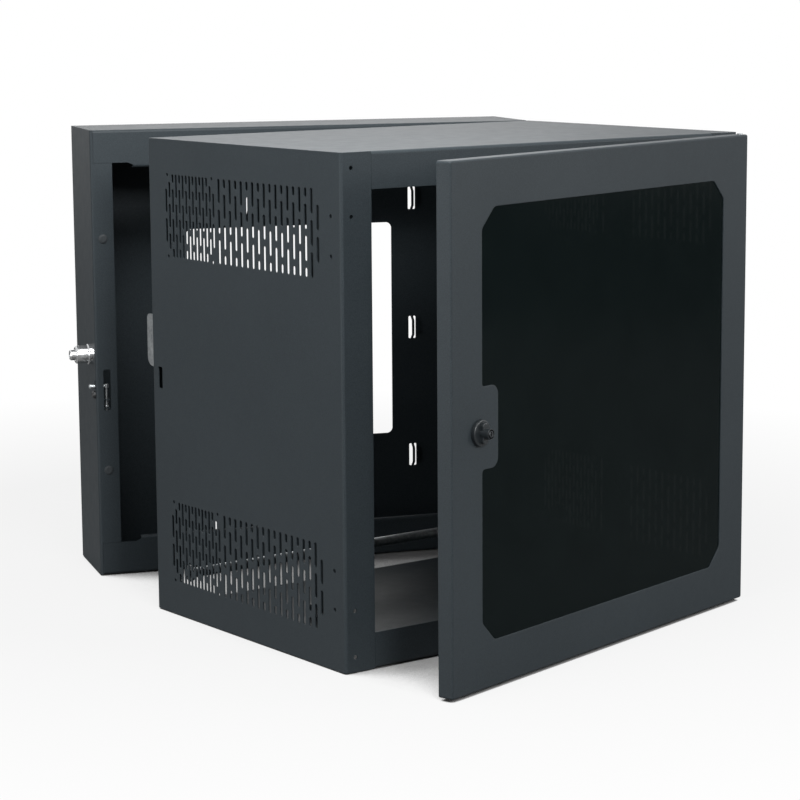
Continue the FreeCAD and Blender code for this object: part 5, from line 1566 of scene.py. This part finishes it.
@dataclass
class SwingLatch:
    """Sliding latch inside the left wall, with its thumb pin and bracket screw outside."""

    shop: Workshop
    rod_behind: float = 7.5
    rod_inset: float = 15.6
    rod: float = 1.8
    head: tuple[float, float, float] = (3.0, -41.0, 6.0)
    collar: Pair = (-71.0, 3.0)
    pin: tuple[float, float, float] = (3.4, 2.4, 8.7)
    screw: tuple[float, float, float] = (5.4, 4.5, -55.5)

    def build(self) -> None:
        """Make the slide and the bracket's screw."""
        y = LAYOUT.back_front + self.rod_behind
        wall = -LAYOUT.right
        up = Vector((0, 0, 1))
        radius, top, tall = self.head
        low, thick = self.collar
        foot = low - thick - 5
        shell = Shell()
        turned(shell, [(0, foot, 0), (self.rod, foot, 0.5), (self.rod, low - thick, 0.2),
                       (radius, low - thick, 0.4), (radius, low, 0.4), (self.rod, low, 0.2),
                       (self.rod, top - tall, 0.3), (radius, top - tall, 0.5), (radius, top, 0.9),
                       (0, top, 0)], Vector((wall + self.rod_inset, y, 0)), up, sides=36)
        thumb, neck, out = self.pin
        middle = top - tall / 2
        pin = Shell()
        turned(pin, [(0, -self.rod_inset + 1, 0), (neck, -self.rod_inset + 1, 0), (neck, LAYOUT.seam, 0.3),
                     (thumb, LAYOUT.seam, 0.5), (thumb, out + LAYOUT.seam, thumb * 0.8),
                     (0, out + LAYOUT.seam, 0)],
               Vector((wall, y, middle)), Vector((-1, 0, 0)), sides=36, steps=6)
        for corners, normals in pin.faces.values():
            shell.face([pin.points[i] for i in corners], normals)
        self.shop.piece("latch_rod", shell, "zinc_plate", Body.SWING_LATCH, "latch_slide")
        size, proud, level = self.screw
        head = self.shop.cross_head(size, proud, 2.2)
        self.shop.set_out("latch_bracket_screw", head, [(Vector((wall, y, level)), Vector((-1, 0, 0)), 0.35)],
                          "black_oxide", Body.BACK_BOX, "latch_screw")


# ---- hinges -------------------------------------------------------------------------
@dataclass
class Hinges:
    """Screws of the swing hinges and of the door's hinge brackets."""

    shop: Workshop
    leaf: float = 2.0
    leaf_width: float = 30.0
    end: float = 86.0
    screw: tuple[float, float, float] = (4.2, 2.0, 25.0)

    def build(self) -> None:
        """Set the screw heads out."""
        radius, proud, pitch = self.screw
        head = self.shop.cross_head(radius, proud, 1.2)
        levels = (self.end - LAYOUT.top, 0.0, LAYOUT.top - self.end)
        for body, way, name in ((Body.CENTRE, -1, "moving"), (Body.BACK_BOX, 1, "fixed")):
            edge = LAYOUT.centre_rear if way < 0 else LAYOUT.back_front
            seats = []
            for level in levels:
                for k in (-1, 0, 1):
                    place = Vector((LAYOUT.right + self.leaf, edge + way * self.leaf_width * 0.6,
                                    level + k * pitch))
                    seats.append((place, Vector((1, 0, 0)), 0.7 * len(seats)))
            self.shop.set_out(f"{name}_leaf_screws", head, seats, "black_oxide", body,
                              f"swing_hinge_{name}_screws")


# ---- nodes that keep their CAD shape ------------------------------------------------
PLAIN_NODES = {
    "powder_coat": ("swing_hinge_fixed_leaves", "swing_hinge_moving_leaves", "latch_bracket",
                    "rail_brackets_left", "rail_brackets_right", "door_hinge_bracket_upper",
                    "door_hinge_bracket_lower"),
    "zinc_plate": ("side_lock_nut", "lock_strike", "latch_hook", "rail_bolts", "retainer_nuts", "lock_body",
                   "lock_cam", "cam_screw", "swing_hinge_pins", "door_hinge_pins", "window_retainers"),
    "black_oxide": ("door_hinge_screws",),
    "smoked_acrylic": ("door_window",),
}


# ---- studio -------------------------------------------------------------------------
@dataclass
class Studio:
    """White studio: camera, soft lamps, pale floor and a background that shows white."""

    eye: tuple[float, float, float] = (-0.9721, -3.5607, 0.4912)
    gaze: tuple[float, float, float] = (0.30113582, 0.94027389, -0.15875209)
    roll: float = -0.397
    lens: float = 113.388
    floor_drop: float = 0.0015
    ambient: float = 0.28

    def build(self) -> None:
        """Set up everything that isn't the object."""
        self.camera()
        self.world()
        self.floor()
        self.lamp("key", (3.0, -1.72, 0.85), 0.6, 30.0)
        self.lamp("front", (0.15, -3.6, 1.5), 0.8, 70.0)
        self.lamp("left_strip", (-3.07, -1.32, 0.15), 0.8, 28.0)
        self.lamp("near_left", (-0.75, -1.35, 1.25), 0.5, 9.0)
        self.lamp("near_top", (-0.2, -0.9, 1.05), 0.4, 11.0)
        self.lamp("overhead", (0.3, 0.9, 3.2), 2.4, 22.0)
        self.lamp("rear", (1.4, 5.0, 2.2), 2.0, 20.0)
        bpy.context.scene.view_settings.view_transform = "Standard"

    def camera(self) -> None:
        """Camera at the stored view."""
        ahead = Vector(self.gaze)
        right = ahead.cross(Vector((0, 0, 1))).normalized()
        up = right.cross(ahead)
        roll = math.radians(self.roll)
        axes = (right * math.cos(roll) + up * math.sin(roll), up * math.cos(roll) - right * math.sin(roll),
                -ahead)
        data = bpy.data.cameras.new("camera")
        data.lens = self.lens
        data.sensor_width = 36
        camera = bpy.data.objects.new("camera", data)
        bpy.context.scene.collection.objects.link(camera)
        matrix = Matrix(axes).transposed().to_4x4()
        matrix.translation = Vector(self.eye)
        camera.matrix_world = matrix
        bpy.context.scene.camera = camera

    @staticmethod
    def seen(bench: Bench) -> Signal:
        """1 for rays that show the background: straight, mirrored or through glass."""
        kinds = [bench.node("ShaderNodeLightPath", out=name)
                 for name in ("Is Camera Ray", "Is Glossy Ray", "Is Transmission Ray")]
        return bench.ramp(kinds[0] + kinds[1] + kinds[2], 0.0, 1.0)

    def world(self) -> None:
        """White where it is seen, and an even soft light otherwise."""
        world = bpy.data.worlds.new("studio")
        bpy.context.scene.world = world
        world.use_nodes = True
        bench = Bench(world.node_tree)
        glow = bench.node("ShaderNodeBackground", {}, {"Color": (1, 1, 1, 1), "Strength": self.ambient})
        white = bench.node("ShaderNodeBackground", {}, {"Color": (1, 1, 1, 1), "Strength": 1.0})
        both = bench.node("ShaderNodeMixShader", {}, {0: self.seen(bench), 1: glow, 2: white})
        bench.node("ShaderNodeOutputWorld", {}, {"Surface": both})

    def floor(self) -> None:
        """Pale floor that keeps the cabinet's shadow, with painted shade in its nooks, and fades out to
        white.
        """
        reach = 9.0
        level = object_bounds()[0].z - self.floor_drop
        mesh = bpy.data.meshes.new("floor")
        corners = [(-reach, -reach), (reach, -reach), (reach, reach), (-reach, reach)]
        mesh.from_pydata([(x, y, level) for x, y in corners], [], [(0, 1, 2, 3)])
        floor = bpy.data.objects.new("floor", mesh)
        bpy.context.scene.collection.objects.link(floor)
        material, bench = new_bench("studio_floor")
        matte = bench.node("ShaderNodeBsdfDiffuse", {}, {"Color": (0.30, 0.30, 0.30, 1)})
        white = bench.node("ShaderNodeEmission", {}, {"Color": (1, 1, 1, 1), "Strength": 1.0})
        away = bench.node("ShaderNodeVectorMath", {"operation": "LENGTH"}, {0: bench.place()}, out="Value")
        share = 0.86 + 0.14 * bench.ramp(away, 0.7, 1.5)
        # Painted shade: ambient occlusion takes the white glow off the floor in nooks under and between the
        # sections, so the lamp-lit grey matte shows darker there.
        nook = bench.node("ShaderNodeAmbientOcclusion", {"samples": 16}, {"Distance": 1.3}, out="AO")
        straight = bench.node("ShaderNodeLightPath", out="Is Camera Ray")
        share = straight * share * bench.ramp(nook, 0.27, 0.45)
        both = bench.node("ShaderNodeMixShader", {}, {0: share, 1: matte, 2: white})
        bench.node("ShaderNodeOutputMaterial", {}, {"Surface": both})
        mesh.materials.append(material)
        floor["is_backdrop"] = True

    @staticmethod
    def lamp(name: str, place: tuple[float, float, float], size: float, power: float) -> None:
        """One soft square lamp that faces the cabinet."""
        data = bpy.data.lights.new(name, "AREA")
        data.size = size
        data.energy = power
        lamp = bpy.data.objects.new(name, data)
        bpy.context.scene.collection.objects.link(lamp)
        spot = Vector(place)
        toward = Vector((0.05, -0.35, 0.0)) - spot
        lamp.matrix_world = Matrix.Translation(spot) @ toward.to_track_quat("-Z", "Y").to_matrix().to_4x4()


# ---- assembly -----------------------------------------------------------------------
def main() -> None:
    """Build the sub-assemblies in order, then the studio."""
    logging.basicConfig(level=logging.INFO, format="%(name)s: %(message)s")
    shop = Workshop()
    lock = DoorLock(shop)
    BackBox(shop).build()
    CentreSection(shop).build()
    Door(shop).build(lock.centre)
    lock.build()
    SideLock(shop).build()
    SwingLatch(shop).build()
    Hinges(shop).build()
    for slot, nodes in PLAIN_NODES.items():
        for node in nodes:
            shop.dress(node, slot)
    Studio().build()


if __name__ == "__main__":
    main()
